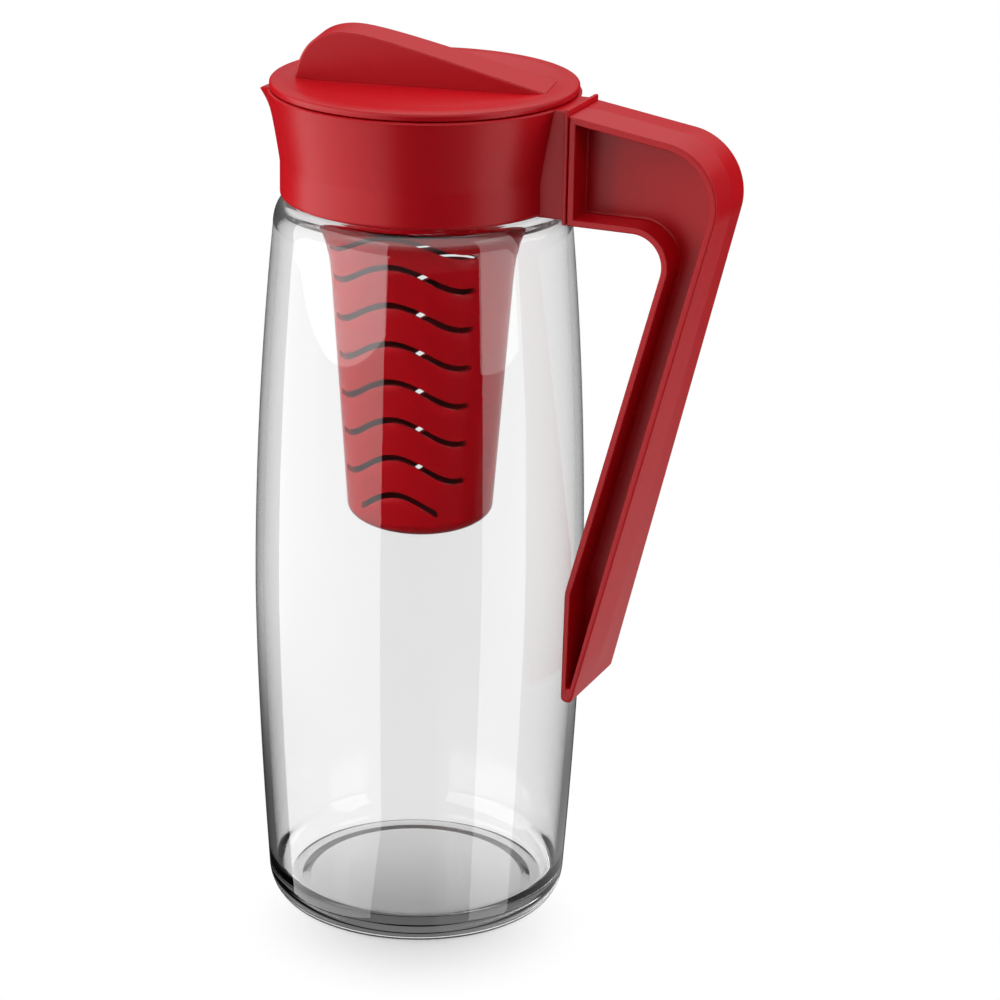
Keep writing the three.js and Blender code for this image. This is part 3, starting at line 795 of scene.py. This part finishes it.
handleShape = {
    "root": 54.8,
    "topHeight": 277.4,
    "footHeight": 242.3,
    "slope": radians(8.9),
    "middle": 160.0,
    "backMiddle": 81.43,
    "backLean": 0.251,
    "gripMiddle": 68.57,
    "gripLean": 0.255,
    "bendRadius": 19.7,
    "fingerRadius": 10.0,
    "tailX": 58.7,
    "tipHeight": 84.0,
    "tipRounds": (1.6, 1.9),
    "kneeRadius": 14.0,
    "middleWidth": 31.33,
    "widthLean": 0.064,
    "leastWidth": 25.7,
    "flange": 2.2,
    "tipFlange": 0.74,
    "pocketRound": 0.8,
    "taperHeight": 60.0,
    "web": 5.0,
    "crown": 0.8,
    "crownEase": 12.0,
    "backShares": (0.0, 0.06, 0.35, 0.7),
    "edge": 0.55,
    "innerEdge": 0.3,
    "webFillet": 0.9,
    "crownStart": 3.0,
    "crownLevel": 0.03,
    "kneeLead": 4.0,
    "rootLead": 0.6,
    "tipRuns": (4, 6),
    "tipReach": (6, 4),
    "topSteps": 12,
    "bendSteps": 40,
    "backSteps": 34,
    "tipSteps": 6,
    "tailSteps": 8,
    "kneeSteps": 12,
    "gripSteps": 26,
    "fingerSteps": 26,
}


def makeCollar():
    g = lugShape
    s = collarShape
    foot, rim = fits["collarFoot"], fits["collarRim"]
    rimFoot = rim - s["rimRound"]
    lip = s["lipWall"]
    radius, rimRadius, throat = fits["collarRadius"], fits["collarRimRadius"], fits["throatRadius"]
    flareHeights = np.linspace(s["waist"], rimFoot, s["flareSteps"] + 1)
    outer = [
        *rounded([(s["footInside"], foot), (radius, foot, s["footRound"]), (radius, s["waist"])]),
        *[(collarFlare(h), float(h)) for h in flareHeights[1:]],
        *easedCorner((rimRadius, rimFoot), (rimRadius - s["rimRound"], rim), 5)[1:],
    ]
    outer = outer[:1] + sorted(outer[1:], key=lambda p: p[1])
    pocket = fits["beadStart"] - fits["gap"]
    neck = fits["neckRadius"] + fits["gap"]
    bead = fits["beadRadius"] + fits["gap"]
    throatTop = rimFoot - s["throatDrop"]
    inner = rounded([
        (rimRadius - lip + s["lipLean"], rim, s["innerRound"]),
        (rimRadius - lip, rimFoot, s["lipLean"]),
        (collarFlare(rimFoot) - 2 * lip, throatTop, s["throatRound"]),
        (throat, spout["innerStart"], s["throatRound"]),
        (throat, fits["throatFoot"], s["innerRound"]),
        (bead, fits["throatFoot"]),
        (bead, pocket + s["pocketChamfer"]),
        (neck, pocket),
        (neck, foot + fits["neckFillet"]),
        (s["footInside"], foot),
    ])[:-1]
    edgeCount = len(outer)

    def shape(point, place):
        return drawSpout(point, spout["start"] if place < edgeCount else spout["innerStart"])

    shell = finishMesh("collarShell", turned([*outer, *inner], s["sides"], change=shape))
    half = g["halfWidth"]
    face = fits["lugFace"]
    lug = roundedBlock((g["root"], foot), (face - g["faceInset"], rim), lambda z: 2 * half, g["edge"])
    plate = roundedBlock((face - g["plateThickness"], g["plateFoot"]), (face, g["plateTop"]), handleWidth,
                         g["plateEdge"])
    low, high = foot - g["boreEnds"][0], rim + g["boreEnds"][1]
    bore = turned([
        (0, low),
        (bead, low),
        (bead, fits["throatFoot"]),
        (throat, fits["throatFoot"] + 1),
        (throat, spout["innerStart"]),
        (g["boreRadii"][0], throatTop),
        (g["boreRadii"][1], high),
        (0, high),
    ], g["boreSides"], closed=False)
    lugPiece = finishMesh("lug", lug)
    joinTo(lugPiece, [finishMesh("plate", plate)])
    joinTo(lugPiece, [finishMesh("bore", bore)], "DIFFERENCE")
    joinTo(shell, [lugPiece])
    return smoothed(shell, 32)


place(makeCollar(), "jug", "collar", "red_plastic", redPlastic)
print("collar made")


def handleRuns():
    s = handleShape
    tilt, slope, bend = atan(s["backLean"]), s["slope"], s["bendRadius"]

    def backX(height):
        return s["backMiddle"] + s["backLean"] * (height - s["middle"])

    def gripX(height):
        return s["gripMiddle"] + s["gripLean"] * (height - s["middle"])

    # The bend's centre lies its radius inside both the top line and the back line
    topAtRoot = s["topHeight"] - bend / cos(slope) + s["root"] * tan(slope)
    backAtGround = backX(0) - bend / cos(tilt)
    bendX = (backAtGround + s["backLean"] * topAtRoot) / (1 + s["backLean"] * tan(slope))
    bendZ = topAtRoot - bendX * tan(slope)
    curve = arc((bendX, bendZ), bend, pi / 2 - slope, -tilt, s["bendSteps"])
    topX, topZ = curve[0]
    endZ = curve[-1][1]
    root, rootTop, steps, lead = s["root"], s["topHeight"], s["topSteps"], s["rootLead"]
    topRun = [(root + (topX - root) * k / steps, rootTop + (topZ - rootTop) * k / steps)
              for k in range(steps)]
    topRun[1] = (root + lead, rootTop - lead * tan(slope))
    gripEnd, tailEnd = [s["tipHeight"] + run for run in s["tipRuns"]]
    gripRun = [(backX(z), z) for z in np.linspace(endZ, gripEnd, s["backSteps"])[1:]]
    back = [*topRun, *curve, *gripRun]
    backRound, frontRound = s["tipRounds"]
    tip = rounded([back[-1], (backX(s["tipHeight"]), s["tipHeight"], backRound),
                   (s["tailX"], s["tipHeight"], frontRound), (s["tailX"], tailEnd)],
                  steps=s["tipSteps"])[1:-1]
    point = (s["tailX"], s["middle"] + (s["tailX"] - s["backMiddle"]) / s["backLean"])
    kneeZ = s["middle"] + (s["tailX"] - s["gripMiddle"]) / s["gripLean"]
    gripTilt = atan(s["gripLean"])
    fingerZ = s["footHeight"] - s["fingerRadius"]
    fingerEndZ = fingerZ - s["fingerRadius"] * sin(gripTilt)
    fingerX = gripX(fingerEndZ) - s["fingerRadius"] * cos(gripTilt)
    finger = arc((fingerX, fingerZ), s["fingerRadius"], -gripTilt, pi / 2, s["fingerSteps"])
    tail = [(s["tailX"], z) for z in np.linspace(tailEnd, kneeZ - s["kneeLead"], s["tailSteps"])[:-1]]
    knee = rounded([tail[-1], (s["tailX"], kneeZ, s["kneeRadius"]), finger[0]],
                   steps=s["kneeSteps"])[1:-1]
    inside = [(gripX(z), z) for z in np.linspace(knee[-1][1], finger[0][1], s["gripSteps"])[1:-1]]
    front = [*tail, *knee, *inside, *finger, (s["root"], s["footHeight"])]
    return back, tip, point, front


def filletAt(before, corner, after, radius, count):
    return rounded([before, (*corner, radius), after], steps=count - 1)[1:-1]


def crossing(a, b, c, d):
    first, second = Vector(b) - Vector(a), Vector(d) - Vector(c)
    share = (Vector(c) - Vector(a)).cross(second) / first.cross(second)
    return tuple(Vector(a) + first * share)


def makeHandle():
    s = handleShape
    back, tip, point, front = handleRuns()
    outline = [*back, *tip, *front]
    sharp = [*back, point, *front]
    pointPlace = len(back)

    def pocketLoop(distance):
        # the flange thins towards the tip, and corners below the pocket's rounded end are gathered onto it
        rises = [clamped((z - s["tipHeight"]) / s["taperHeight"]) for x, z in sharp]
        thin = s["tipFlange"]
        inner = insetLoop(sharp, [distance * (thin + (1 - thin) * rise) for rise in rises])
        above, below = inner[pointPlace - s["tipReach"][0]], inner[pointPlace + s["tipReach"][1]]
        meet = crossing(above, inner[pointPlace - 1], below, inner[pointPlace + 1])
        corner = filletAt(above, meet, below, s["pocketRound"], len(tip))
        loop = [*inner[:pointPlace], *corner, *inner[pointPlace + 1:]]
        for places, end in ((range(pointPlace - 1, -1, -1), corner[0]),
                            (range(pointPlace + len(corner), len(loop)), corner[-1])):
            for i in places:
                if loop[i][1] > end[1]:
                    break
                loop[i] = end
        return loop

    # From the middle of the outer face over the flange and down the pocket to the web
    rows = [("back", share, 0) for share in s["backShares"]]

    def addRows(kind, count, start, radius, swapped=False):
        for k in range(count + 1):
            turn = pi / 2 * k / count
            reach, depth = radius * (1 - cos(turn)), radius * (1 - sin(turn))
            rows.append((kind, start - depth, reach) if swapped else (kind, start + reach, depth))

    addRows("wide", 4, 0, s["edge"])
    addRows("pocket", 3, s["flange"], s["innerEdge"], True)
    addRows("web", 4, s["flange"], s["webFillet"])

    def crownShare(x, z):
        atTip = clamped((z - s["tipHeight"] - s["tipRuns"][0]) / s["crownEase"])
        return clamped((x - s["root"]) / s["crownStart"]) * atTip

    ridgeRun = len(back)
    raised = insetLoop(outline, -1.0)
    built = bmesh.new()
    loops = {1: [], -1: []}
    for side in (1, -1):
        for kind, reach, depth in rows:
            corners = []
            if kind == "back":
                if side == -1 and reach == 0.0:
                    loops[-1].append(loops[1][0])
                    continue
                for i, (x, z) in enumerate(outline):
                    level = 1 - max(reach, s["crownLevel"])
                    lift = s["crown"] * level * crownShare(x, z) if i < ridgeRun else 0.0
                    away = (raised[i][0] - x, raised[i][1] - z)
                    y = (handleWidth(z) / 2 - s["edge"]) * reach
                    corners.append((x + away[0] * lift, side * y, z + away[1] * lift))
            else:
                for x, z in insetLoop(outline, reach) if kind == "wide" else pocketLoop(reach):
                    y = s["web"] / 2 + depth if kind == "web" else handleWidth(z) / 2 - depth
                    corners.append((x, side * y, z))
            loops[side].append([built.verts.new(c) for c in corners])
        for first, second in zip(loops[side], loops[side][1:]):
            bridge(built, first, second, side == -1)
        built.faces.new(loops[side][-1] if side == 1 else loops[side][-1][::-1])
    return finishMesh("handleGrip", built, sharpAngle=34, weighted=True)


place(makeHandle(), "jug", "handle", "red_plastic", redPlastic)
print("handle made")


lidShape = {
    "radius": 49.7,
    "thickness": 2.4,
    "edgeRound": 1.7,
    "underRound": 0.5,
    "dishRadius": 42.3,
    "dishDepth": 0.9,
    "dishEase": 9.0,
    "easeShares": (0.3, 0.7),
    "dishRounds": (9.0, 16.0),
    "spigotWall": 2.0,
    "spigotLength": 4.6,
    "spigotRounds": (0.5, 0.6),
    "edgeLean": 0.25,
    "sides": 288,
}
finShape = {
    "height": 16.2,
    "peak": -24.0,
    "overhang": 1.2,
    "noseHalf": 7.5,
    "tailHalf": 9.8,
    "tailHeight": 0.8,
    "sink": 0.5,
    "edge": 0.8,
    "nose": (0.1, 0.66, 0.39),
    "tail": (0.22, 0.24, 0.54),
    "steps": 44,
}


def curveThrough(a, b, c, d, steps):
    points = []
    for k in range(steps + 1):
        t = k / steps
        w = ((1 - t) ** 3, 3 * t * (1 - t) ** 2, 3 * t * t * (1 - t), t ** 3)
        points.append(tuple(sum(w[n] * p[axis] for n, p in enumerate((a, b, c, d))) for axis in (0, 1)))
    return points


def turnMesh(piece, angle):
    cosine, sine = cos(angle), sin(angle)
    for vert in piece.data.vertices:
        x, y = vert.co.x, vert.co.y
        vert.co.x, vert.co.y = cosine * x - sine * y, sine * x + cosine * y
    return piece


def makeFin():
    s = finShape
    dish = fits["lidUnderside"] + lidShape["thickness"] - lidShape["dishDepth"]
    half = lidShape["dishRadius"] - s["overhang"]
    root = fits["lidUnderside"] + s["sink"]
    top = dish + s["height"]
    run = half + s["peak"]
    rise = s["height"]
    nose = curveThrough((-half, dish), (-half + run * s["nose"][0], dish + rise * s["nose"][1]),
                        (-half + run * s["nose"][2], top), (s["peak"], top), s["steps"])
    tail = curveThrough((s["peak"], top), (s["peak"] + half * s["tail"][0], top),
                        (half * s["tail"][1], dish + rise * s["tail"][2]),
                        (half, dish + s["tailHeight"]), s["steps"])
    outline = [(-half, root), *nose, *tail[1:], (half, root)]

    def halfWidth(x):
        return s["noseHalf"] + (s["tailHalf"] - s["noseHalf"]) * (x + half) / (2 * half)

    built = bmesh.new()
    loops = []
    turns = [pi / 2 * k / 5 for k in range(6)]
    for side, order in ((-1, turns[::-1]), (1, turns)):
        for turn in order:
            corners = []
            for x, z in insetLoop(outline, s["edge"] * (1 - cos(turn))):
                corners.append((x, side * (halfWidth(x) - s["edge"] * (1 - sin(turn))), z))
            loops.append([built.verts.new(c) for c in corners])
    for first, second in zip(loops, loops[1:]):
        bridge(built, first, second)
    built.faces.new(loops[0])
    built.faces.new(loops[-1])
    return finishMesh("fin", built)


def makeLid():
    s = lidShape
    under = fits["lidUnderside"]
    top = under + s["thickness"]
    dish = top - s["dishDepth"]
    spigot = fits["plugRadius"] - fits["plugWall"] - fits["gap"]
    foot = under - s["spigotLength"]
    outline = rounded([
        (0, under),
        (spigot - s["spigotWall"], under, s["spigotRounds"][0]),
        (spigot - s["spigotWall"], foot, s["spigotRounds"][0]),
        (spigot, foot, s["spigotRounds"][1]),
        (spigot, under),
        (s["radius"] - s["edgeLean"], under, s["underRound"]),
        (s["radius"], top, s["edgeRound"]),
        (s["dishRadius"] + s["dishEase"] * s["easeShares"][0], top, s["dishRounds"][0]),
        (s["dishRadius"] - s["dishEase"] * s["easeShares"][1], dish, s["dishRounds"][1]),
        (0, dish),
    ], steps=8)
    disc = finishMesh("lidCap", turned(outline, s["sides"], closed=False))
    joinTo(disc, [makeFin()])
    return turnMesh(smoothed(disc, 32), fits["lidTurn"])


place(makeLid(), "lid", "lid_cap", "red_plastic", redPlastic)
print("lid made")

strainer = {
    "count": 9,
    "pitch": radians(7.2),
    "width": 2.4,
    "depth": 8.0,
    "sides": 20,
    "low": 264.6,
    "high": 273.0,
}
plugShape = {
    "grooveRadius": 35.2,
    "grooveLow": 256.6,
    "grooveHigh": 260.6,
    "slotHeight": 3.5,
    "slotHalf": radians(7.2),
    "edge": 0.3,
    "softEdge": 0.2,
    "entryDrop": 0.3,
    "entryLead": 0.002,
    "sides": 256,
}


# Makes a tree whose inputs are named by the values that a piece gives them
def newTree(name, values):
    tree = bpy.data.node_groups.new(name, "GeometryNodeTree")
    inputs = {"Geometry": "Geometry", **values, "Material": "Material"}
    return tree, *addSockets(tree, inputs, {"Geometry": "Geometry"})


def endTree(tree, geometry, given, result):
    real = addNode(tree, "GeometryNodeRealizeInstances", {"Geometry": geometry}).outputs[0]
    dressed = addNode(tree, "GeometryNodeSetMaterial", {"Geometry": real, "Material": given["Material"]})
    tree.links.new(dressed.outputs[0], result["Geometry"])
    return tree


def runTree(piece, makeTree, values, material):
    tree = makeTree(values)
    modifier = piece.modifiers.new(tree.name, "NODES")
    modifier.node_group = tree
    for item in tree.interface.items_tree:
        if item.in_out == "INPUT" and item.name != "Geometry":
            modifier[item.identifier] = material if item.name == "Material" else values[item.name]
    return settle(piece)


# Upright slots with round ends, spread evenly on an arc of the wall and cut through it
def strainerTree(values):
    tree, given, result = newTree("strainerSlots", values)
    make, do, times, minus = toolsFor(tree)
    half = times(given["Slot Width"], 0.5)
    rod = make("GeometryNodeMeshCylinder", {
        "Vertices": given["Slot Sides"], "Radius": half, "Depth": given["Slot Depth"]}).outputs["Mesh"]
    reach = minus(times(minus(given["Slot High"], given["Slot Low"]), 0.5), half)
    ends = []
    for way in (-1.0, 1.0):
        shift = vectorOf(tree, z=times(reach, way))
        ends.append(make("GeometryNodeTransform", {
            "Geometry": rod, "Translation": shift, "Rotation": (0, pi / 2, 0)}).outputs[0])
    both = tree.nodes.new("GeometryNodeJoinGeometry")
    for end in ends:
        tree.links.new(end, both.inputs[0])
    cutter = make("GeometryNodeConvexHull", {"Geometry": both.outputs[0]}).outputs[0]
    row = make("GeometryNodeMeshLine", {"Count": given["Count"], "Offset": (0, 0, 0)}).outputs[0]
    index = tree.nodes.new("GeometryNodeInputIndex").outputs[0]
    number = minus(index, times(minus(given["Count"], 1.0), 0.5))
    angle = do("MULTIPLY_ADD", number, given["Pitch"], given["Middle Angle"])
    middle = times(do("ADD", given["Slot Low"], given["Slot High"]), 0.5)
    across = [times(do(kind, angle), given["Wall Radius"]) for kind in ("COSINE", "SINE")]
    spot = vectorOf(tree, *across, middle)
    placed = make("GeometryNodeSetPosition", {"Geometry": row, "Position": spot}).outputs[0]
    turn = vectorOf(tree, z=angle)
    cutters = make("GeometryNodeInstanceOnPoints", {
        "Points": placed, "Instance": cutter, "Rotation": turn}).outputs[0]
    solidCutters = make("GeometryNodeRealizeInstances", {"Geometry": cutters}).outputs[0]
    cut = make("GeometryNodeMeshBoolean", {"Mesh 1": given["Geometry"], "Mesh 2": solidCutters},
               operation="DIFFERENCE", solver="EXACT")
    return endTree(tree, cut.outputs["Mesh"], given, result)


def arcBlock(radii, angles, heights, steps=12):
    built = bmesh.new()
    rings = []
    for turn in np.linspace(*angles, steps + 1):
        corners = [(radii[i], heights[j]) for i, j in ((0, 0), (1, 0), (1, 1), (0, 1))]
        rings.append([built.verts.new(onCircle(radius, turn, height)) for radius, height in corners])
    for first, second in zip(rings, rings[1:]):
        bridge(built, first, second)
    built.faces.new(rings[0])
    built.faces.new(rings[-1])
    return built


def softenEdges(piece, width, angle=38, sharpAngle=32):
    modify(piece, "edges", "BEVEL", width=width * mm, segments=2, limit_method="ANGLE",
           angle_limit=radians(angle), use_clamp_overlap=True)
    return smoothed(piece, sharpAngle)


def makePlug():
    s = plugShape
    outer = fits["plugRadius"]
    inner = outer - fits["plugWall"]
    foot, top = fits["plugFoot"], fits["plugTop"]
    groove = s["grooveRadius"]
    outline = rounded([
        (inner, foot, s["edge"]),
        (outer, foot, s["edge"]),
        (outer, s["grooveLow"], s["edge"]),
        (groove, s["grooveLow"], s["edge"]),
        (groove, s["grooveHigh"], s["edge"]),
        (outer, s["grooveHigh"], s["edge"]),
        (outer, top, s["edge"]),
        (inner, top, s["edge"]),
    ], closed=True, steps=3)
    ring = finishMesh("lidPlug", turned(outline, s["sides"]))
    low, high = around(fits["bayonetMiddle"], s["slotHeight"])
    half = s["slotHalf"]
    radii = (inner - 1, outer + 1)
    cutters = []
    for i in range(3):
        lock = fits["lidTurn"] + radians(120 * i)
        entry = lock - fits["bayonetTwist"]
        cutters.append(arcBlock(radii, (entry - half, lock + half), (low, high)))
        way = (entry - half + s["entryLead"], entry + half)
        cutters.append(arcBlock(radii, way, (foot - 1, high - s["entryDrop"])))
    joinTo(ring, [finishMesh("cutter", cutter) for cutter in cutters], "DIFFERENCE")
    runTree(ring, strainerTree, {
        "Count": strainer["count"],
        "Pitch": strainer["pitch"],
        "Middle Angle": pi + fits["lidTurn"],
        "Wall Radius": (outer + inner) / 2 * mm,
        "Slot Width": strainer["width"] * mm,
        "Slot Depth": strainer["depth"] * mm,
        "Slot Sides": strainer["sides"],
        "Slot Low": strainer["low"] * mm,
        "Slot High": strainer["high"] * mm,
    }, redPlastic)
    return softenEdges(ring, s["softEdge"])


place(makePlug(), "lid", "lid_plug", "red_plastic", redPlastic)
print("plug made")


sealShape = {
    "radius": 38.1,
    "rootRadius": 35.5,
    "waistRadius": 37.0,
    "lipHeight": 1.2,
    "rounds": (0.3, 0.5, 0.45, 0.4),
    "sides": 224,
}
gasketShape = {
    "inner": 38.9,
    "outer": 42.0,
    "low": 262.3,
    "high": 264.6,
    "round": 0.5,
    "sides": 192,
}


def makeSeal():
    s = sealShape
    low, high = around(fits["sealMiddle"], fits["sealHeight"])
    root, radius, lip = s["rootRadius"], s["radius"], s["lipHeight"]
    rootRound, edgeRound, lipRound, waistRound = s["rounds"]
    outline = rounded([
        (root, low, rootRound),
        (radius, low, edgeRound),
        (radius, low + lip, lipRound),
        (s["waistRadius"], fits["sealMiddle"], waistRound),
        (radius, high - lip, lipRound),
        (radius, high, edgeRound),
        (root, high, rootRound),
    ], closed=True)
    return finishMesh("lidSeal", turned(outline, s["sides"]), weighted=True)


def makeGasket():
    g = gasketShape
    corners = (("inner", "low"), ("outer", "low"), ("outer", "high"), ("inner", "high"))
    outline = rounded([(g[radius], g[height], g["round"]) for radius, height in corners], closed=True)
    return finishMesh("collarRing", turned(outline, g["sides"]), weighted=True)


place(makeSeal(), "seal", "lid_seal", "soft_ring", softRubber)
place(makeGasket(), "jug", "collar_gasket", "soft_ring", softRubber)
print("soft rings made")


basket = {
    "footHeight": 139.1,
    "footRadius": 24.07,
    "lean": 0.071,
    "flareHeight": 226.0,
    "flarePower": 2.6,
    "ringRadius": 33.7,
    "ringFoot": 244.8,
    "ringTop": 256.4,
    "domeDepth": 8.4,
    "wall": 2.0,
    "slots": 8,
    "lowestSlot": 148.9,
    "slotPitch": 13.02,
    "slotHeight": 2.2,
    "rowsBetween": 4,
    "columns": 288,
    "lugRoot": 1.0,
    "lugReach": 2.6,
    "domeRows": 12,
    "footRows": 7,
    "topRows": 4,
    "edge": 0.28,
}
wave = {
    "drop": 4.3,
    "backDrop": 2.8,
    "lip": 0.45,
    "leastShare": 0.22,
    "endTaper": 0.4,
    "reach": 80.0,
    "length": radians(48),
    "half": radians(54),
    "lowestHalf": radians(33),
    "fade": radians(20),
    "turn": radians(5),
}


def basketRadius(height):
    b = basket
    cone = b["footRadius"] + b["lean"] * (min(height, b["flareHeight"]) - b["footHeight"])
    climb = (height - b["flareHeight"]) / (b["ringFoot"] - b["flareHeight"])
    return cone + (b["ringRadius"] - cone) * clamped(climb) ** b["flarePower"]


def basketRows():
    b = basket
    half = b["slotHeight"] / 2
    wide, narrow = wave["half"], wave["lowestHalf"]
    rows = []

    def addRow(height, share=1.0, slot=-1, side=0, opening=wide):
        rows.append((height, share, slot, side, opening))

    foot, ringFoot, ringTop = b["footHeight"], b["ringFoot"], b["ringTop"]
    lowest = b["lowestSlot"] - half
    for k in range(b["footRows"]):
        addRow(foot + (lowest - foot) * k / b["footRows"], k / b["footRows"])
    for k in range(b["slots"]):
        crest = b["lowestSlot"] + b["slotPitch"] * k
        opening = wide if k else narrow
        addRow(crest - half, slot=k, side=-1, opening=opening)
        addRow(crest + half, side=1, opening=opening)
        if k < b["slots"] - 1:
            gap = b["slotPitch"] - 2 * half
            for step in range(1, b["rowsBetween"] + 1):
                addRow(crest + half + gap * step / (b["rowsBetween"] + 1))
    highest = rows[-1][0]
    count = b["topRows"]
    for k in range(1, count):
        addRow(highest + (ringFoot - highest) * k / count, 1 - k / count)
    for k in range(count + 1):
        addRow(ringFoot + (ringTop - ringFoot) * k / count, 0.0)
    return rows


# Builds the wall from its dome up. A row holds its height, its share of the wave, the slot that starts there,
# the slot side that it bounds and how far round the slot opens.
def basketWall():
    b = basket
    rows = basketRows()
    columns, domeRows = b["columns"], b["domeRows"]
    footRadius = basketRadius(b["footHeight"])
    for k in range(1, domeRows):
        turn = pi / 2 * k / domeRows
        rows.insert(k - 1, (b["footHeight"] - b["domeDepth"] * cos(turn), 0.0, -1, 0, wave["half"]))
    points, faces, slots = [], [], []
    marks = {"waveShare": [], "slotSide": [], "openHalf": []}
    for number, (height, share, slot, side, opening) in enumerate(rows):
        radius = basketRadius(height) if number >= domeRows - 1 else footRadius * sin(
            pi / 2 * (number + 1) / domeRows)
        for i in range(columns):
            points.append([c * mm for c in onCircle(radius, 2 * pi * i / columns, height)])
        for values, value in zip(marks.values(), (share, float(side), opening)):
            values += [value] * columns
    for k in range(len(rows) - 1):
        for i in range(columns):
            j = (i + 1) % columns
            faces.append((k * columns + i, k * columns + j, (k + 1) * columns + j, (k + 1) * columns + i))
            slots.append(rows[k][2])
    points.append((0, 0, (b["footHeight"] - b["domeDepth"]) * mm))
    for values, value in zip(marks.values(), (0.0, 0.0, wave["half"])):
        values.append(value)
    for i in range(columns):
        faces.append((len(points) - 1, (i + 1) % columns, i))
        slots.append(-1)
    mesh = bpy.data.meshes.new("infuserBasket")
    mesh.from_pydata(points, [], faces)
    for name, values in marks.items():
        mesh.attributes.new(name, "FLOAT", "POINT").data.foreach_set("value", values)
    mesh.attributes.new("slotNumber", "INT", "FACE").data.foreach_set("value", slots)
    mesh.update()
    return addObject("infuserBasket", mesh)


def readAttribute(tree, name, kind):
    node = addNode(tree, "GeometryNodeInputNamedAttribute", {"Name": name}, data_type=kind)
    return node.outputs["Attribute"]


# Bends the rows into waves on two sides of the wall and opens the slots between them
def waveTree(values):
    tree, given, result = newTree("waveSlots", values)
    make, do, times, minus = toolsFor(tree)
    spot = tree.nodes.new("GeometryNodeInputPosition").outputs[0]
    x, y, z = make("ShaderNodeSeparateXYZ", {"Vector": spot}).outputs
    angle = minus(do("ARCTAN2", y, x), given["Turn"])
    across = minus(do("FLOORED_MODULO", angle, pi), pi / 2)
    size = do("ABSOLUTE", across)
    marks = ("waveShare", "slotSide", "openHalf")
    share, side, limit = [readAttribute(tree, name, "FLOAT") for name in marks]
    slot = readAttribute(tree, "slotNumber", "INT")
    along = do("DIVIDE", do("MINIMUM", size, given["Wave Length"]), given["Wave Length"])
    curve = do("COSINE", times(along, pi))
    back = times(do("GREATER_THAN", do("SINE", angle), 0.0), given["Back Drop"])
    dip = do("MULTIPLY_ADD", minus(1.0, curve), given["Drop"], back)
    fadeEnd = do("ADD", given["Half Angle"], given["Fade Angle"])
    sideShare = fade(tree, size, given["Half Angle"], fadeEnd, 1.0, 0.0)
    fall = times(times(dip, share), sideShare)
    endReach = times(given["Column Angle"], 1.2)
    endStart = minus(limit, endReach)
    beforeEnd = do("LESS_THAN", size, do("ADD", limit, endReach))
    nearEnd = times(do("GREATER_THAN", size, endStart), beforeEnd)
    atEnd = times(nearEnd, times(side, given["End Taper"]))
    least = do("MULTIPLY_ADD", minus(z, given["Foot Height"]), given["Least Share"], given["Foot Height"])
    fallen = do("MAXIMUM", minus(z, fall), least)
    height = minus(fallen, atEnd)
    way = vectorCalc(tree, "NORMALIZE", vectorOf(tree, x, y))
    hit = make("GeometryNodeRaycast", {
        "Target Geometry": given["Geometry"], "Ray Direction": way,
        "Source Position": vectorOf(tree, z=height), "Ray Length": given["Ray Length"]})
    moving = times(hit.outputs["Is Hit"], do("GREATER_THAN", share, 0.0001))
    lipRun = times(do("LESS_THAN", size, endStart), given["Lip Inset"])
    lip = times(do("LESS_THAN", side, -0.5), lipRun)
    inwards = make("ShaderNodeVectorMath", {0: way, "Scale": times(lip, -1.0)}, operation="SCALE").outputs[0]
    moved = make("GeometryNodeSetPosition", {
        "Geometry": given["Geometry"], "Selection": moving,
        "Position": hit.outputs["Hit Position"], "Offset": inwards}).outputs[0]
    opened = times(do("GREATER_THAN", slot, -0.5), do("LESS_THAN", size, limit))
    cut = make("GeometryNodeDeleteGeometry", {"Geometry": moved, "Selection": opened},
               domain="FACE", mode="ALL")
    return endTree(tree, cut.outputs[0], given, result)


def makeBasket():
    wall = basketWall()
    runTree(wall, waveTree, {
        "Drop": wave["drop"] * mm,
        "Wave Length": wave["length"],
        "Half Angle": wave["half"],
        "Fade Angle": wave["fade"],
        "Back Drop": wave["backDrop"] * mm,
        "Lip Inset": wave["lip"] * mm,
        "Foot Height": basket["footHeight"] * mm,
        "Least Share": wave["leastShare"],
        "End Taper": wave["endTaper"] * mm,
        "Column Angle": 2 * pi / basket["columns"],
        "Ray Length": wave["reach"] * mm,
        "Turn": wave["turn"],
    }, basketPlastic)
    modify(wall, "wall", "SOLIDIFY", thickness=basket["wall"] * mm, offset=-1, use_even_offset=True)
    root = basketRadius(basket["ringFoot"]) - basket["lugRoot"]
    heights = around(fits["bayonetMiddle"], fits["bayonetHeight"])
    lugs = []
    for i in range(3):
        sweep = around(fits["lidTurn"] + radians(120 * i), fits["bayonetArc"])
        lugs.append(finishMesh("lug", arcBlock((root, root + basket["lugReach"]), sweep, heights, 8)))
    gather(wall, lugs)
    return softenEdges(wall, basket["edge"], angle=50, sharpAngle=45)


place(makeBasket(), "infuser", "infuser_basket", "basket_plastic", basketPlastic)
print("basket made")
